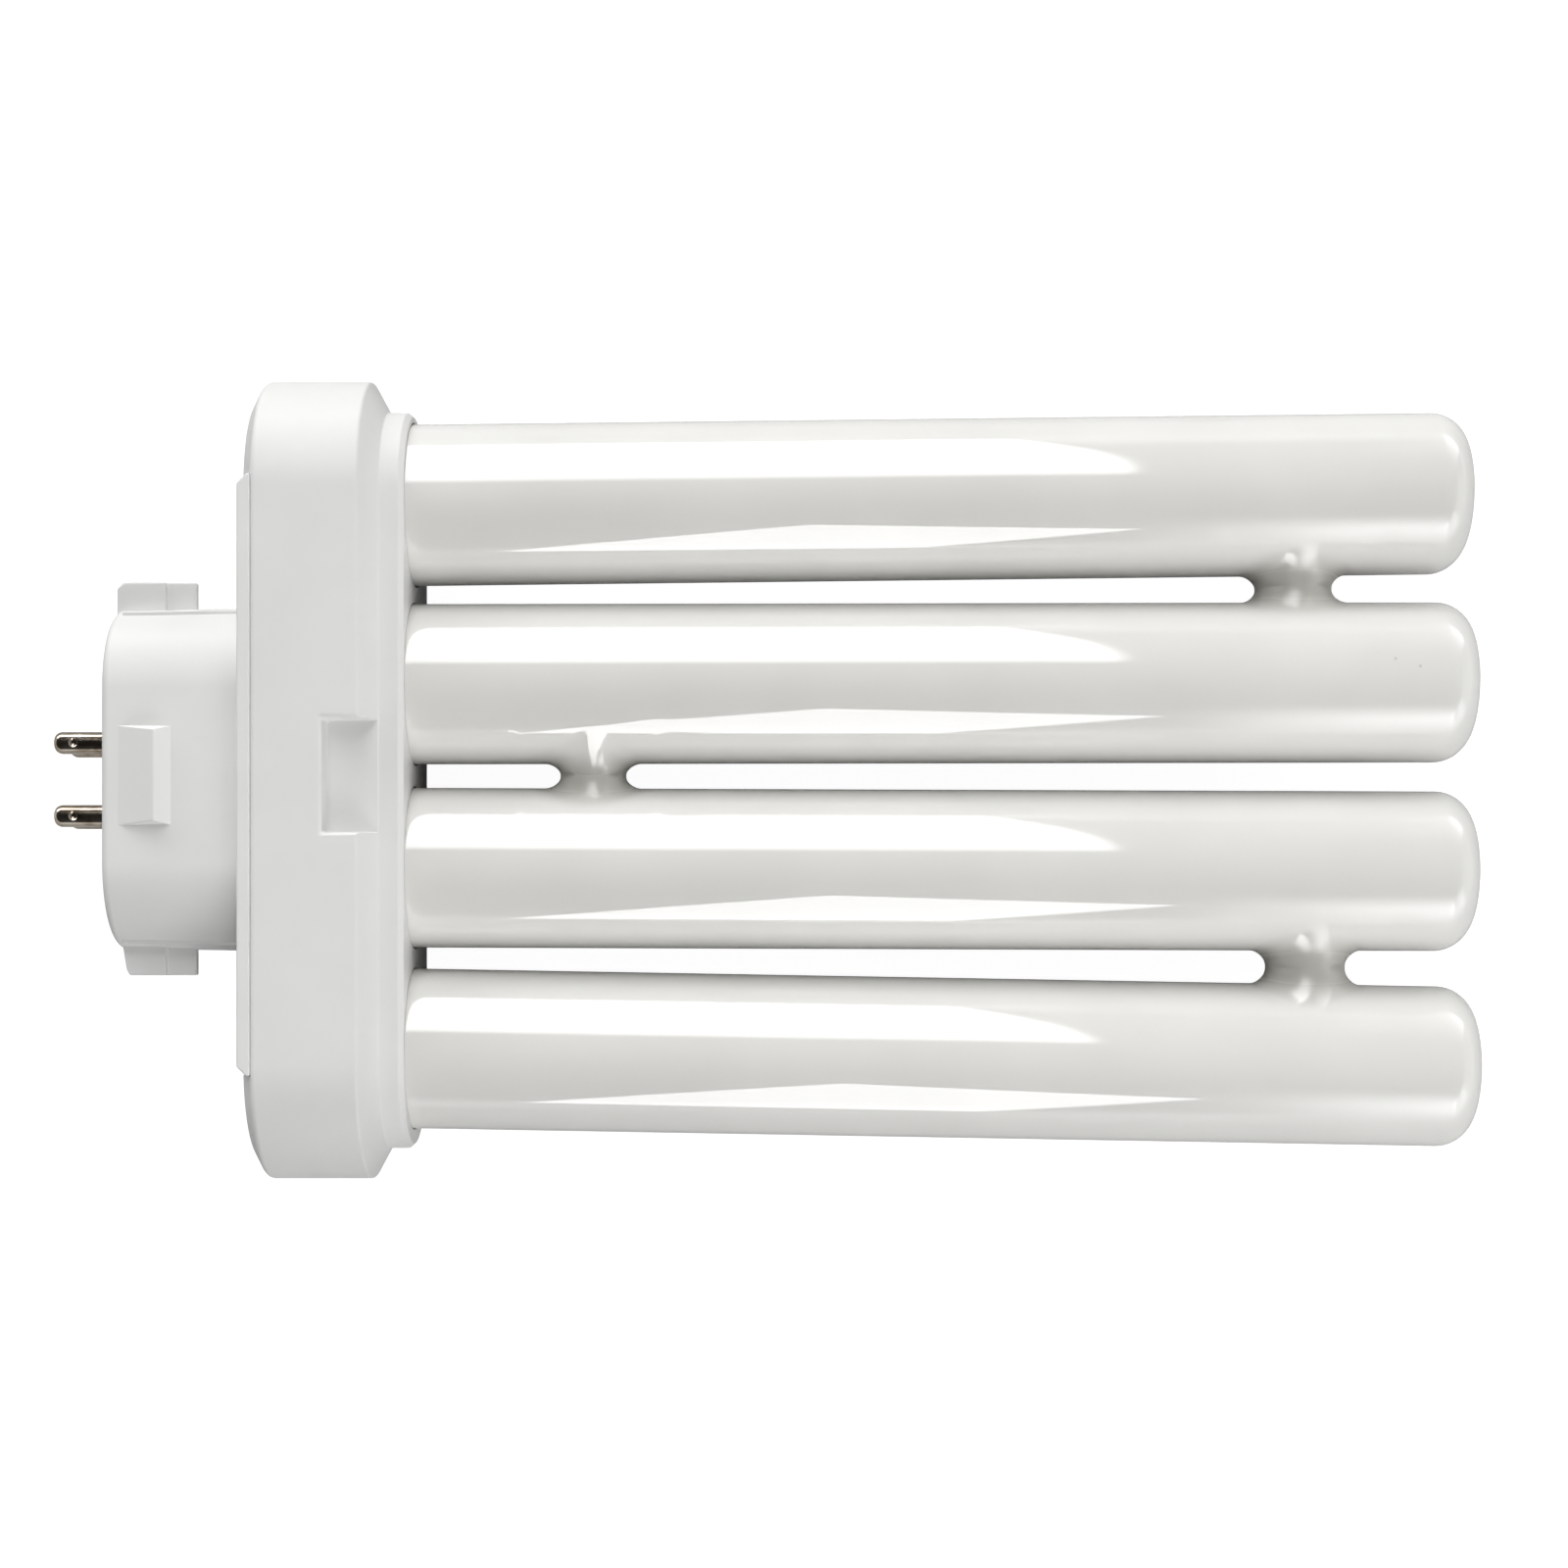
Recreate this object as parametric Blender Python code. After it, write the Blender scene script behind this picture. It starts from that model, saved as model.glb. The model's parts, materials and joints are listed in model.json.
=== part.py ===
"""Compact fluorescent lamp: four fused glass tubes side by side, a moulded holder and a four-pin plug base.

Metres, +Z up. The lamp lies on one broad face of its holder, +X runs from the plug to the free tube ends
and +Y runs across the tubes. The origin is under the middle of the lamp, on the surface it lies on.
"""

import math

import bmesh
import bpy
from mathutils import Matrix, Vector

MM = 0.001

# Gap left between two faces that touch on the real lamp
FIT = 0.3 * MM

# Glass vessel
TUBE_DIAMETER = 17.5 * MM
TUBE_GAP = 2.3 * MM
TUBE_PITCH = TUBE_DIAMETER + TUBE_GAP
# How far each tube stands off its evenly spaced place at the holder's mouth, and how it leans in the plane
TUBE_DRIFT = (0.5 * MM, 0.7 * MM, 0.4 * MM, 0.4 * MM)
TUBE_LEAN = (math.radians(0.65), math.radians(0.1), math.radians(-0.2), math.radians(-1.0))
TUBE_REACH = (115.1 * MM, 115.7 * MM, 115.7 * MM, 115.9 * MM)
TUBE_SUNK = 11.8 * MM
TUBE_CORNER = 4.6 * MM
TUBE_CROWN_ANGLE = math.radians(10)
TUBE_FOOT_CORNER = 1.6 * MM
# Each bridge joins a tube to the next: its distance from the holder's mouth and its width at the waist
BRIDGE_PLACE = (96.2 * MM, 19.5 * MM, 97.5 * MM)
BRIDGE_WIDTH = (8.3 * MM, 7.2 * MM, 8.6 * MM)
BRIDGE_FILLET = 1.5 * MM
BRIDGE_ROOT = 0.5 * MM
# Pressed seals on the two outer tubes, which let the lead wires through
SEAL_WIDTH = 9.6 * MM
SEAL_THICKNESS = 3.2 * MM
SEAL_LENGTH = 1.5 * MM
# Stub on the second tube, where the vessel was pumped out and closed
EXHAUST_DIAMETER = 3.6 * MM
EXHAUST_LENGTH = 2.2 * MM

# Tube holder
HOLDER_END_MARGIN = 5.05 * MM
HOLDER_FACE_MARGIN = 4.25 * MM
HOLDER_BODY = 11.2 * MM
HOLDER_WALL = 1.8 * MM
HOLDER_BACK_WALL = 1.6 * MM
HOLDER_BLOCK = 9.0 * MM
RIM_CHAMFER = (1.2 * MM, 2.2 * MM)
SHOULDER_CHAMFER = (1.8 * MM, 3.3 * MM)
COLLAR_LENGTH = 2.6 * MM
COLLAR_CHAMFER = (0.55 * MM, 0.5 * MM)
NOTCH_WIDTH = 12.1 * MM
NOTCH_LENGTH = 5.5 * MM
NOTCH_DEPTH = 3.2 * MM

# Basing cement behind the tube bores
CEMENT_DEPTH = 1.7 * MM

# Plug base
FLANGE_WIDTH = 62.6 * MM
FLANGE_THICKNESS = 1.4 * MM
FLANGE_PROUD = 0.3 * MM
FLANGE_CHAMFER = 1.2 * MM
FLANGE_LEDGE = 2.0 * MM
MOUTH_LEDGE = 0.4 * MM
PLUG_LENGTH = 14.6 * MM
PLUG_WIDTH = 36.8 * MM
PLUG_FACE_INSET = 1.4 * MM
PLUG_DRAFT = 0.2 * MM
PLUG_RIM = 0.9 * MM
PLUG_WALL = 1.6 * MM
PIN_PLATE = 2.4 * MM
KEY_LENGTH = 8.6 * MM
KEY_SETBACK = 0.1 * MM
KEY_STEP_AT = 5.4 * MM
KEY_STEP = 0.5 * MM
KEY_TAB = 1.1 * MM
KEY_WIDTH = 10.0 * MM
KEY_HEIGHT = 2.8 * MM
KEY_CHAMFER = 0.7 * MM
PAD_START = 1.1 * MM
PAD_INSET = 0.6 * MM
PAD_WIDTH = 13.4 * MM
LUG_START = 1.85 * MM
LUG_LENGTH = 5.7 * MM
LUG_RIDGE_AT = 4.05 * MM
LUG_WIDTH = 10.6 * MM
LUG_HEIGHT = 1.3 * MM
LUG_END_SLOPE = 0.5 * MM
TONGUE_REACH = 3.0 * MM
TONGUE_THICKNESS = 1.2 * MM
TONGUE_WIDTH = 9.0 * MM
TONGUE_GAP = 1.2 * MM

# Contact pins
PIN_DIAMETER = 2.4 * MM
PIN_REACH = 7.1 * MM
PIN_SPACING = 7.92 * MM
PIN_ROWS = 6.35 * MM
PIN_TIP = 1.1 * MM
PIN_COLLAR_DIAMETER = 3.4 * MM
PIN_COLLAR_LENGTH = 0.8 * MM
PIN_TAIL_DIAMETER = 2.0 * MM
PIN_TAIL = 2.5 * MM
PIN_END_WALL = 1.2 * MM
DIMPLE_FROM_TIP = 1.8 * MM
DIMPLE_DIAMETER = 1.1 * MM
DIMPLE_DEPTH = 0.35 * MM

# Lead wires: the run along the flange, and the bends at the seal, round the flange's edge and at the pin
WIRE_DIAMETER = 0.6 * MM
WIRE_RUN = 0.85 * MM
WIRE_SEAL_BEND = 2.4 * MM
WIRE_EDGE_BEND = 1.5 * MM
WIRE_EDGE_DROP = 0.9 * MM
WIRE_PIN_BEND = 1.6 * MM
WIRE_SAG = 5.0 * MM
WIRE_STEPS = 30

# Faces round a full turn
TUBE_SIDES = 32
STADIUM_SIDES = 32
NECK_SIDES = 24
SMALL_SIDES = 16
WIRE_ROUNDNESS = 2

# Sizes that follow the tubes
TUBE_COUNT = len(TUBE_REACH)
HOLDER_WIDTH = (TUBE_COUNT - 1) * TUBE_PITCH + TUBE_DIAMETER + 2 * HOLDER_END_MARGIN
HOLDER_DEPTH = TUBE_DIAMETER + 2 * HOLDER_FACE_MARGIN
PLUG_DEPTH = HOLDER_DEPTH - 2 * PLUG_FACE_INSET

# Places along the lamp, worked out from the sizes above
OVERALL_LENGTH = (
    PIN_REACH
    + PLUG_LENGTH
    + FLANGE_THICKNESS
    + HOLDER_BODY
    + SHOULDER_CHAMFER[0]
    + COLLAR_LENGTH
    + max(TUBE_REACH)
)
X_PIN_FACE = PIN_REACH - OVERALL_LENGTH / 2
X_FLANGE = X_PIN_FACE + PLUG_LENGTH
X_RIM = X_FLANGE + FLANGE_PROUD
X_SEAT = X_FLANGE + FLANGE_THICKNESS
X_SHOULDER = X_SEAT + HOLDER_BODY
X_COLLAR = X_SHOULDER + SHOULDER_CHAMFER[0]
X_MOUTH = X_COLLAR + COLLAR_LENGTH
X_BLOCK = X_MOUTH - HOLDER_BLOCK
X_PLATE = X_PIN_FACE + PIN_PLATE
Z_MID = HOLDER_DEPTH / 2

# How far a cutter runs past the face it opens, and how far a joined body runs into its neighbour
OVERRUN = 1.0 * MM


def clear_scene():
    for obj in list(bpy.data.objects):
        bpy.data.objects.remove(obj, do_unlink=True)


def material(name, colour, roughness, metallic=0.0):
    made = bpy.data.materials.new(name)
    made.use_nodes = True
    shader = made.node_tree.nodes["Principled BSDF"]
    shader.inputs["Base Color"].default_value = (*colour, 1.0)
    shader.inputs["Roughness"].default_value = roughness
    shader.inputs["Metallic"].default_value = metallic
    made.diffuse_color = (*colour, 1.0)
    return made


def add_loft(bm, rings):
    """Closed body through rings that all have the same number of points."""
    loops = [[bm.verts.new(point) for point in ring] for ring in rings]
    for first, second in zip(loops, loops[1:]):
        for i in range(len(first)):
            j = (i + 1) % len(first)
            bm.faces.new((first[i], first[j], second[j], second[i]))
    bm.faces.new(loops[0])
    bm.faces.new(loops[-1])


def object_from_lofts(name, lofts, finish=None):
    bm = bmesh.new()
    for rings in lofts:
        add_loft(bm, rings)
    bmesh.ops.recalc_face_normals(bm, faces=bm.faces)
    mesh = bpy.data.meshes.new(name)
    bm.to_mesh(mesh)
    bm.free()
    obj = bpy.data.objects.new(name, mesh)
    bpy.context.collection.objects.link(obj)
    if finish:
        mesh.materials.append(finish)
        mesh.shade_smooth()
        mesh.set_sharp_from_angle(angle=math.radians(35))
    return obj


def helper(obj):
    """Keeps a body that cuts or joins another out of the render."""
    obj.hide_render = True
    obj.display_type = "WIRE"
    return obj


def boolean(target, operation, other):
    modifier = target.modifiers.new(f"{operation.lower()}_{other.name}", "BOOLEAN")
    modifier.operation = operation
    modifier.solver = "EXACT"
    modifier.object = other


def circle_ring(x, radius, sides, centre=(0.0, 0.0)):
    """Ring about a line along X."""
    ring = []
    for i in range(sides):
        turn = math.tau * (i + 0.5) / sides
        ring.append(Vector((x, centre[0] + radius * math.cos(turn), centre[1] + radius * math.sin(turn))))
    return ring


def stadium_ring(x, width, depth, inset=0.0):
    """Oblong ring with round ends, drawn in by an inset."""
    radius = depth / 2 - inset
    straight = (width - depth) / 2
    half = STADIUM_SIDES // 2
    ring = []
    for side in (1, -1):
        for i in range(half + 1):
            turn = -math.pi / 2 + math.pi * i / half
            ring.append(
                Vector(
                    (x, side * (straight + radius * math.cos(turn)), Z_MID + side * radius * math.sin(turn))
                )
            )
    return ring


def box_rings(low, high):
    """Two rings of a box, along X."""
    return [
        [Vector((x, y, z)) for y, z in ((low[1], low[2]), (high[1], low[2]), (high[1], high[2]), (low[1], high[2]))]
        for x in (low[0], high[0])
    ]


def tube_place(index):
    """Where a tube's axis crosses the holder's mouth, across the lamp."""
    middle = (TUBE_COUNT - 1) / 2
    return (middle - index) * TUBE_PITCH + TUBE_DRIFT[index]


def along_tube(index):
    """Turns a shape made along X from the origin onto a tube's axis."""
    place = Matrix.Translation((X_MOUTH, tube_place(index), Z_MID))
    return place @ Matrix.Rotation(TUBE_LEAN[index], 4, "Z")


def tube_height(index, x):
    """Place of a tube's axis across the lamp at a station along it."""
    return tube_place(index) + math.tan(TUBE_LEAN[index]) * (x - X_MOUTH)


def placed(rings, matrix):
    return [[matrix @ point for point in ring] for ring in rings]


def tube_rings(index):
    """Turned profile of one tube, from its foot in the holder to its crowned free end."""
    radius = TUBE_DIAMETER / 2
    foot = -TUBE_SUNK
    profile = []
    for step in range(4):
        turn = math.radians(90) * step / 3
        profile.append(
            (
                foot + TUBE_FOOT_CORNER * (1 - math.cos(turn)),
                radius - TUBE_FOOT_CORNER * (1 - math.sin(turn)),
            )
        )
    # The corner arc meets the crown arc where both have the same slope
    corner_middle = radius - TUBE_CORNER
    crown_edge = corner_middle + TUBE_CORNER * math.sin(TUBE_CROWN_ANGLE)
    crown_radius = crown_edge / math.sin(TUBE_CROWN_ANGLE)
    crown_rise = crown_radius * (1 - math.cos(TUBE_CROWN_ANGLE))
    corner_top = TUBE_REACH[index] - crown_rise
    corner_x = corner_top - TUBE_CORNER * math.cos(TUBE_CROWN_ANGLE)
    steps = 8
    for step in range(steps + 1):
        turn = math.radians(90) + (TUBE_CROWN_ANGLE - math.radians(90)) * step / steps
        profile.append((corner_x + TUBE_CORNER * math.cos(turn), corner_middle + TUBE_CORNER * math.sin(turn)))
    for share in (0.6, 0.2):
        turn = TUBE_CROWN_ANGLE * share
        profile.append(
            (TUBE_REACH[index] - crown_radius * (1 - math.cos(turn)), crown_radius * math.sin(turn))
        )
    return [circle_ring(x, r, TUBE_SIDES) for x, r in profile]


def seal_rings():
    """Pressed seal: the round foot narrows to a flat tab that stands across the tube."""
    foot = -TUBE_SUNK
    rings = []
    for x, width, thickness in (
        (foot + OVERRUN, SEAL_WIDTH, SEAL_WIDTH),
        (foot - SEAL_LENGTH * 0.2, SEAL_WIDTH * 0.94, SEAL_THICKNESS * 1.5),
        (foot - SEAL_LENGTH * 0.5, SEAL_WIDTH, SEAL_THICKNESS),
        (foot - SEAL_LENGTH, SEAL_WIDTH, SEAL_THICKNESS * 0.9),
    ):
        ring = []
        for i in range(SMALL_SIDES):
            turn = math.tau * (i + 0.5) / SMALL_SIDES
            ring.append(Vector((x, thickness / 2 * math.cos(turn), width / 2 * math.sin(turn))))
        rings.append(ring)
    return rings


def bridge_rings(index):
    """Blown bridge from a tube to the next: at every angle its wall runs out in a fillet onto both tubes."""
    x_middle = X_MOUTH + BRIDGE_PLACE[index]
    upper, lower = tube_height(index, x_middle), tube_height(index + 1, x_middle)
    middle = (upper + lower) / 2
    half_pitch = (upper - lower) / 2
    radius = TUBE_DIAMETER / 2
    wall = BRIDGE_WIDTH[index] / 2
    edge = wall + BRIDGE_FILLET

    def surface(reach, turn):
        """Height of the tube's skin above the middle of the gap, and its slope, out along one angle."""
        across = reach * math.sin(turn)
        deep = math.sqrt(radius**2 - across**2)
        return half_pitch - deep, across * math.sin(turn) / deep

    def fillet_point(turn, share):
        """Point of the curve that leaves the wall upright and meets the tube's skin along its slope."""
        skin, slope = surface(edge, turn)
        corner = skin - slope * BRIDGE_FILLET
        foot = max(0.0, corner - BRIDGE_FILLET)
        reach = wall + BRIDGE_FILLET * share**2
        height = foot * (1 - share) ** 2 + 2 * corner * share * (1 - share) + skin * share**2
        return reach, height

    def root_point(turn):
        reach = edge + BRIDGE_ROOT
        return reach, surface(reach, turn)[0] + BRIDGE_ROOT / 3

    def ring(side, found):
        points = []
        for turn, (reach, height) in zip(turns, found):
            points.append(
                Vector(
                    (x_middle + reach * math.cos(turn), middle + side * height, Z_MID + reach * math.sin(turn))
                )
            )
        return points

    turns = [math.tau * (i + 0.5) / NECK_SIDES for i in range(NECK_SIDES)]
    shares = (0.2, 0.4, 0.6, 0.8, 1.0)
    core = [(wall / 2, half_pitch)] * NECK_SIDES
    half = [[fillet_point(turn, share) for turn in turns] for share in shares]
    half += [[root_point(turn) for turn in turns], core]
    rings = [ring(1, found) for found in reversed(half)]
    rings.append(ring(1, [(wall, 0.0)] * NECK_SIDES))
    rings += [ring(-1, found) for found in half]
    return rings


def glass_vessel(finish):
    """Sealed vessel: four tubes, three bridges, two pressed seals and the exhaust stub, one piece of glass."""
    tubes = [placed(tube_rings(i), along_tube(i)) for i in range(TUBE_COUNT)]
    vessel = object_from_lofts("glass_vessel", tubes, finish)
    bridges = object_from_lofts("bridge_bodies", [bridge_rings(i) for i in range(TUBE_COUNT - 1)])
    first, second, last = 0, 1, TUBE_COUNT - 1
    seals = [placed(seal_rings(), along_tube(i)) for i in (first, last)]
    stub = [
        circle_ring(x, r, SMALL_SIDES)
        for x, r in (
            (-TUBE_SUNK + OVERRUN, EXHAUST_DIAMETER / 2),
            (-TUBE_SUNK - EXHAUST_LENGTH * 0.7, EXHAUST_DIAMETER / 2),
            (-TUBE_SUNK - EXHAUST_LENGTH, EXHAUST_DIAMETER / 5),
        )
    ]
    feet = object_from_lofts("foot_bodies", [*seals, placed(stub, along_tube(second))])
    for body in (bridges, feet):
        boolean(vessel, "UNION", helper(body))
    return vessel


def tube_bores():
    """Bodies that open the holder and the cement for the tubes, along each tube's own axis."""
    bore = TUBE_DIAMETER / 2 + FIT
    start = X_BLOCK - X_MOUTH - CEMENT_DEPTH - FIT - OVERRUN
    lofts = [
        placed([circle_ring(x, bore, TUBE_SIDES) for x in (start, OVERRUN)], along_tube(i))
        for i in range(TUBE_COUNT)
    ]
    return helper(object_from_lofts("tube_bores", lofts))


def tube_holder(finish, bores):
    """Oblong holder: closed socket block with a collar towards the tubes, hollow and open towards the plug."""
    drop, rise = RIM_CHAMFER[1], SHOULDER_CHAMFER[1]
    outline = (
        (X_RIM, drop),
        (X_RIM + RIM_CHAMFER[0], 0.0),
        (X_SHOULDER, 0.0),
        (X_COLLAR, rise),
        (X_MOUTH - COLLAR_CHAMFER[0], rise),
        (X_MOUTH, rise + COLLAR_CHAMFER[1]),
    )
    holder = object_from_lofts(
        "tube_holder",
        [[stadium_ring(x, HOLDER_WIDTH, HOLDER_DEPTH, inset) for x, inset in outline]],
        finish,
    )
    hollow = [
        stadium_ring(x, HOLDER_WIDTH, HOLDER_DEPTH, HOLDER_WALL) for x in (X_RIM + HOLDER_BACK_WALL, X_BLOCK)
    ]
    half_mouth = FLANGE_WIDTH / 2 - FLANGE_LEDGE
    mouth_depth = HOLDER_DEPTH / 2 - HOLDER_WALL - MOUTH_LEDGE
    mouth = box_rings(
        (X_RIM - OVERRUN, -half_mouth, Z_MID - mouth_depth),
        (X_RIM + HOLDER_BACK_WALL + OVERRUN, half_mouth, Z_MID + mouth_depth),
    )
    half_seat = FLANGE_WIDTH / 2 + FIT
    seat = box_rings((X_RIM - OVERRUN, -half_seat, -OVERRUN), (X_SEAT + FIT, half_seat, HOLDER_DEPTH + OVERRUN))
    notch_start = X_COLLAR - NOTCH_LENGTH
    notches = [
        box_rings(
            (notch_start, -NOTCH_WIDTH / 2, low),
            (X_COLLAR + OVERRUN / 2, NOTCH_WIDTH / 2, high),
        )
        for low, high in ((-OVERRUN, NOTCH_DEPTH), (HOLDER_DEPTH - NOTCH_DEPTH, HOLDER_DEPTH + OVERRUN))
    ]
    for name, lofts in (
        ("holder_hollow", [hollow]),
        ("holder_mouth", [mouth]),
        ("flange_seat", [seat]),
        ("clip_notches", notches),
    ):
        boolean(holder, "DIFFERENCE", helper(object_from_lofts(name, lofts)))
    boolean(holder, "DIFFERENCE", bores)
    return holder


def basing_cement(finish, bores):
    """Layer of cement poured round the tubes behind the socket block."""
    top = X_BLOCK - FIT
    rings = [
        stadium_ring(x, HOLDER_WIDTH, HOLDER_DEPTH, HOLDER_WALL + FIT) for x in (top - CEMENT_DEPTH, top)
    ]
    cement = object_from_lofts("basing_cement", [rings], finish)
    boolean(cement, "DIFFERENCE", bores)
    return cement


def key_rings(side):
    """End key of the plug: a block at the pin face, and a thin tab behind it along its upper face."""
    start = X_PIN_FACE + KEY_SETBACK
    step = X_PIN_FACE + KEY_STEP_AT
    end = X_PIN_FACE + KEY_LENGTH
    root = PLUG_WIDTH / 2 - OVERRUN
    top = PLUG_WIDTH / 2 + KEY_HEIGHT
    half = KEY_WIDTH / 2
    tab_top = half - KEY_STEP
    tab_bottom = tab_top - KEY_TAB
    rings = []
    for y, cut in ((root, 0.0), (top - KEY_CHAMFER, 0.0), (top, KEY_CHAMFER)):
        outline = (
            (start + cut, -half),
            (step, -half),
            (step, tab_bottom),
            (end, tab_bottom),
            (end, tab_top),
            (step, tab_top),
            (step, half),
            (start + cut, half),
        )
        rings.append([Vector((x, side * y, Z_MID + z)) for x, z in outline])
    return rings


def pad_rings(side):
    """Square shoulder along the plug's round end, which the key stands on."""
    start = X_PIN_FACE + PAD_START
    end = X_FLANGE + FLANGE_THICKNESS / 2
    top = PLUG_WIDTH / 2 - PAD_INSET
    root = (PLUG_WIDTH - PLUG_DEPTH) / 2
    half = PAD_WIDTH / 2
    rings = []
    for x, drafted in ((start, top), (end, top + PLUG_DRAFT)):
        outline = ((root, -half), (drafted, -half), (drafted, half), (root, half))
        rings.append([Vector((x, side * y, Z_MID + z)) for y, z in outline])
    return rings


def lug_rings(side):
    """Wedge on a broad face of the plug: a long slope from the pins and a short one towards the flange."""
    start = X_PIN_FACE + LUG_START
    root = PLUG_DEPTH / 2 - OVERRUN
    top = PLUG_DEPTH / 2
    outline = (
        (start, root, 0.0),
        (start, top, 0.0),
        (start + LUG_RIDGE_AT, top + LUG_HEIGHT, LUG_END_SLOPE),
        (start + LUG_LENGTH, top, 0.0),
        (start + LUG_LENGTH, root, 0.0),
    )
    rings = []
    for end in (-1, 1):
        rings.append(
            [Vector((x, end * (LUG_WIDTH / 2 - slope), Z_MID + side * z)) for x, z, slope in outline]
        )
    return rings


def tongue_rings(side, face):
    """Tongue that slips into the holder's mouth and keeps the plug square."""
    outer = HOLDER_DEPTH / 2 - HOLDER_WALL - MOUTH_LEDGE - FIT
    near = PLUG_WIDTH / 2 + TONGUE_GAP
    ys = sorted((side * near, side * (near + TONGUE_WIDTH)))
    zs = sorted((Z_MID + face * (outer - TONGUE_THICKNESS), Z_MID + face * outer))
    return box_rings(
        (X_SEAT - FLANGE_THICKNESS / 2, ys[0], zs[0]),
        (X_SEAT + TONGUE_REACH, ys[1], zs[1]),
    )


def flange_rings():
    """Flange across the holder, with its outer corners cut off, drawn from one broad face to the other."""
    half = FLANGE_WIDTH / 2
    outline = (
        (X_SEAT, -half),
        (X_SEAT, half),
        (X_FLANGE + FLANGE_CHAMFER, half),
        (X_FLANGE, half - FLANGE_CHAMFER),
        (X_FLANGE, -half + FLANGE_CHAMFER),
        (X_FLANGE + FLANGE_CHAMFER, -half),
    )
    return [[Vector((x, y, z)) for x, y in outline] for z in (0.0, HOLDER_DEPTH)]


def pin_places():
    """Axes of the four pins as (across, height), with the direction each pin's dimple faces."""
    return [
        (side * PIN_SPACING / 2, Z_MID + row * PIN_ROWS / 2, row) for side in (1, -1) for row in (1, -1)
    ]


def base_cap(finish):
    """Moulded plug base: flange, hollow oblong plug, end keys, face lugs and locating tongues in one piece."""
    outline = (
        (X_PIN_FACE, PLUG_RIM),
        (X_PIN_FACE + PLUG_RIM * 0.3, PLUG_RIM * 0.3),
        (X_PIN_FACE + PLUG_RIM, 0.0),
        (X_FLANGE + FLANGE_THICKNESS / 2, -PLUG_DRAFT),
    )
    cap = object_from_lofts(
        "base_cap", [[stadium_ring(x, PLUG_WIDTH, PLUG_DEPTH, inset) for x, inset in outline]], finish
    )
    flange = object_from_lofts("flange_body", [flange_rings()])
    pads = object_from_lofts("pad_bodies", [pad_rings(side) for side in (1, -1)])
    fittings = [key_rings(side) for side in (1, -1)]
    fittings += [lug_rings(side) for side in (1, -1)]
    fittings += [tongue_rings(side, face) for side in (1, -1) for face in (1, -1)]
    fitting_bodies = object_from_lofts("fitting_bodies", fittings)
    hollow = [
        stadium_ring(x, PLUG_WIDTH, PLUG_DEPTH, PLUG_WALL) for x in (X_PLATE, X_SEAT + OVERRUN)
    ]
    hole = PIN_DIAMETER / 2 + FIT
    holes = [
        [circle_ring(x, hole, SMALL_SIDES, (y, z)) for x in (X_PIN_FACE - OVERRUN, X_PLATE + OVERRUN)]
        for y, z, _ in pin_places()
    ]
    for body in (flange, pads, fitting_bodies):
        boolean(cap, "UNION", helper(body))
    boolean(cap, "DIFFERENCE", helper(object_from_lofts("plug_hollow", [hollow])))
    boolean(cap, "DIFFERENCE", helper(object_from_lofts("pin_holes", holes)))
    return cap


def contact_pin(number, place, finish):
    """Hollow turned pin: rounded tip, locating collar behind the pin plate and an open tail for its wire."""
    y, z, facing = place
    radius = PIN_DIAMETER / 2
    tip = X_PIN_FACE - PIN_REACH
    tail = X_PLATE + FIT + PIN_COLLAR_LENGTH + PIN_TAIL
    collar_back = X_PLATE + FIT + PIN_COLLAR_LENGTH
    profile = [
        (tip + PIN_TIP * (1 - math.cos(turn)), radius * math.sin(turn) ** 0.7)
        for turn in (math.radians(a) for a in (14, 34, 54, 74, 90))
    ]
    profile += [
        (X_PLATE + FIT, radius),
        (X_PLATE + FIT, PIN_COLLAR_DIAMETER / 2),
        (collar_back, PIN_COLLAR_DIAMETER / 2),
        (collar_back, PIN_TAIL_DIAMETER / 2),
        (tail, PIN_TAIL_DIAMETER / 2),
    ]
    pin = object_from_lofts(
        f"contact_pin_{number}", [[circle_ring(x, r, SMALL_SIDES, (y, z)) for x, r in profile]], finish
    )
    bore = WIRE_DIAMETER / 2 + FIT
    bore_rings = [circle_ring(x, bore, SMALL_SIDES // 2, (y, z)) for x in (tip + PIN_END_WALL, tail + OVERRUN)]
    boolean(pin, "DIFFERENCE", helper(object_from_lofts(f"wire_bore_{number}", [bore_rings])))
    dimple_x = tip + DIMPLE_FROM_TIP
    floor = radius - DIMPLE_DEPTH
    dimple = [
        [
            Vector((dimple_x + r * math.cos(turn), y + r * math.sin(turn), z + facing * height))
            for turn in (math.tau * i / 8 for i in range(8))
        ]
        for height, r in (
            (floor, DIMPLE_DIAMETER / 5),
            (floor + DIMPLE_DEPTH * 0.4, DIMPLE_DIAMETER / 2.6),
            (floor + DIMPLE_DEPTH * 1.6, DIMPLE_DIAMETER / 1.6),
        )
    ]
    boolean(pin, "DIFFERENCE", helper(object_from_lofts(f"crimp_punch_{number}", [dimple])))
    return pin


def smooth_route(points, count):
    """Evenly counted points on a curve through the chosen ones."""
    ends = [points[0] * 2 - points[1], *points, points[-1] * 2 - points[-2]]
    spans = len(points) - 1
    route = []
    for i in range(count + 1):
        place = min(i * spans / count, spans - 1e-9)
        k = int(place)
        t = place - k
        a, b, c, d = ends[k : k + 4]
        route.append(
            (b * 2 + (c - a) * t + (a * 2 - b * 5 + c * 4 - d) * t**2 + (b * 3 - a - c * 3 + d) * t**3) / 2
        )
    return route


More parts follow.
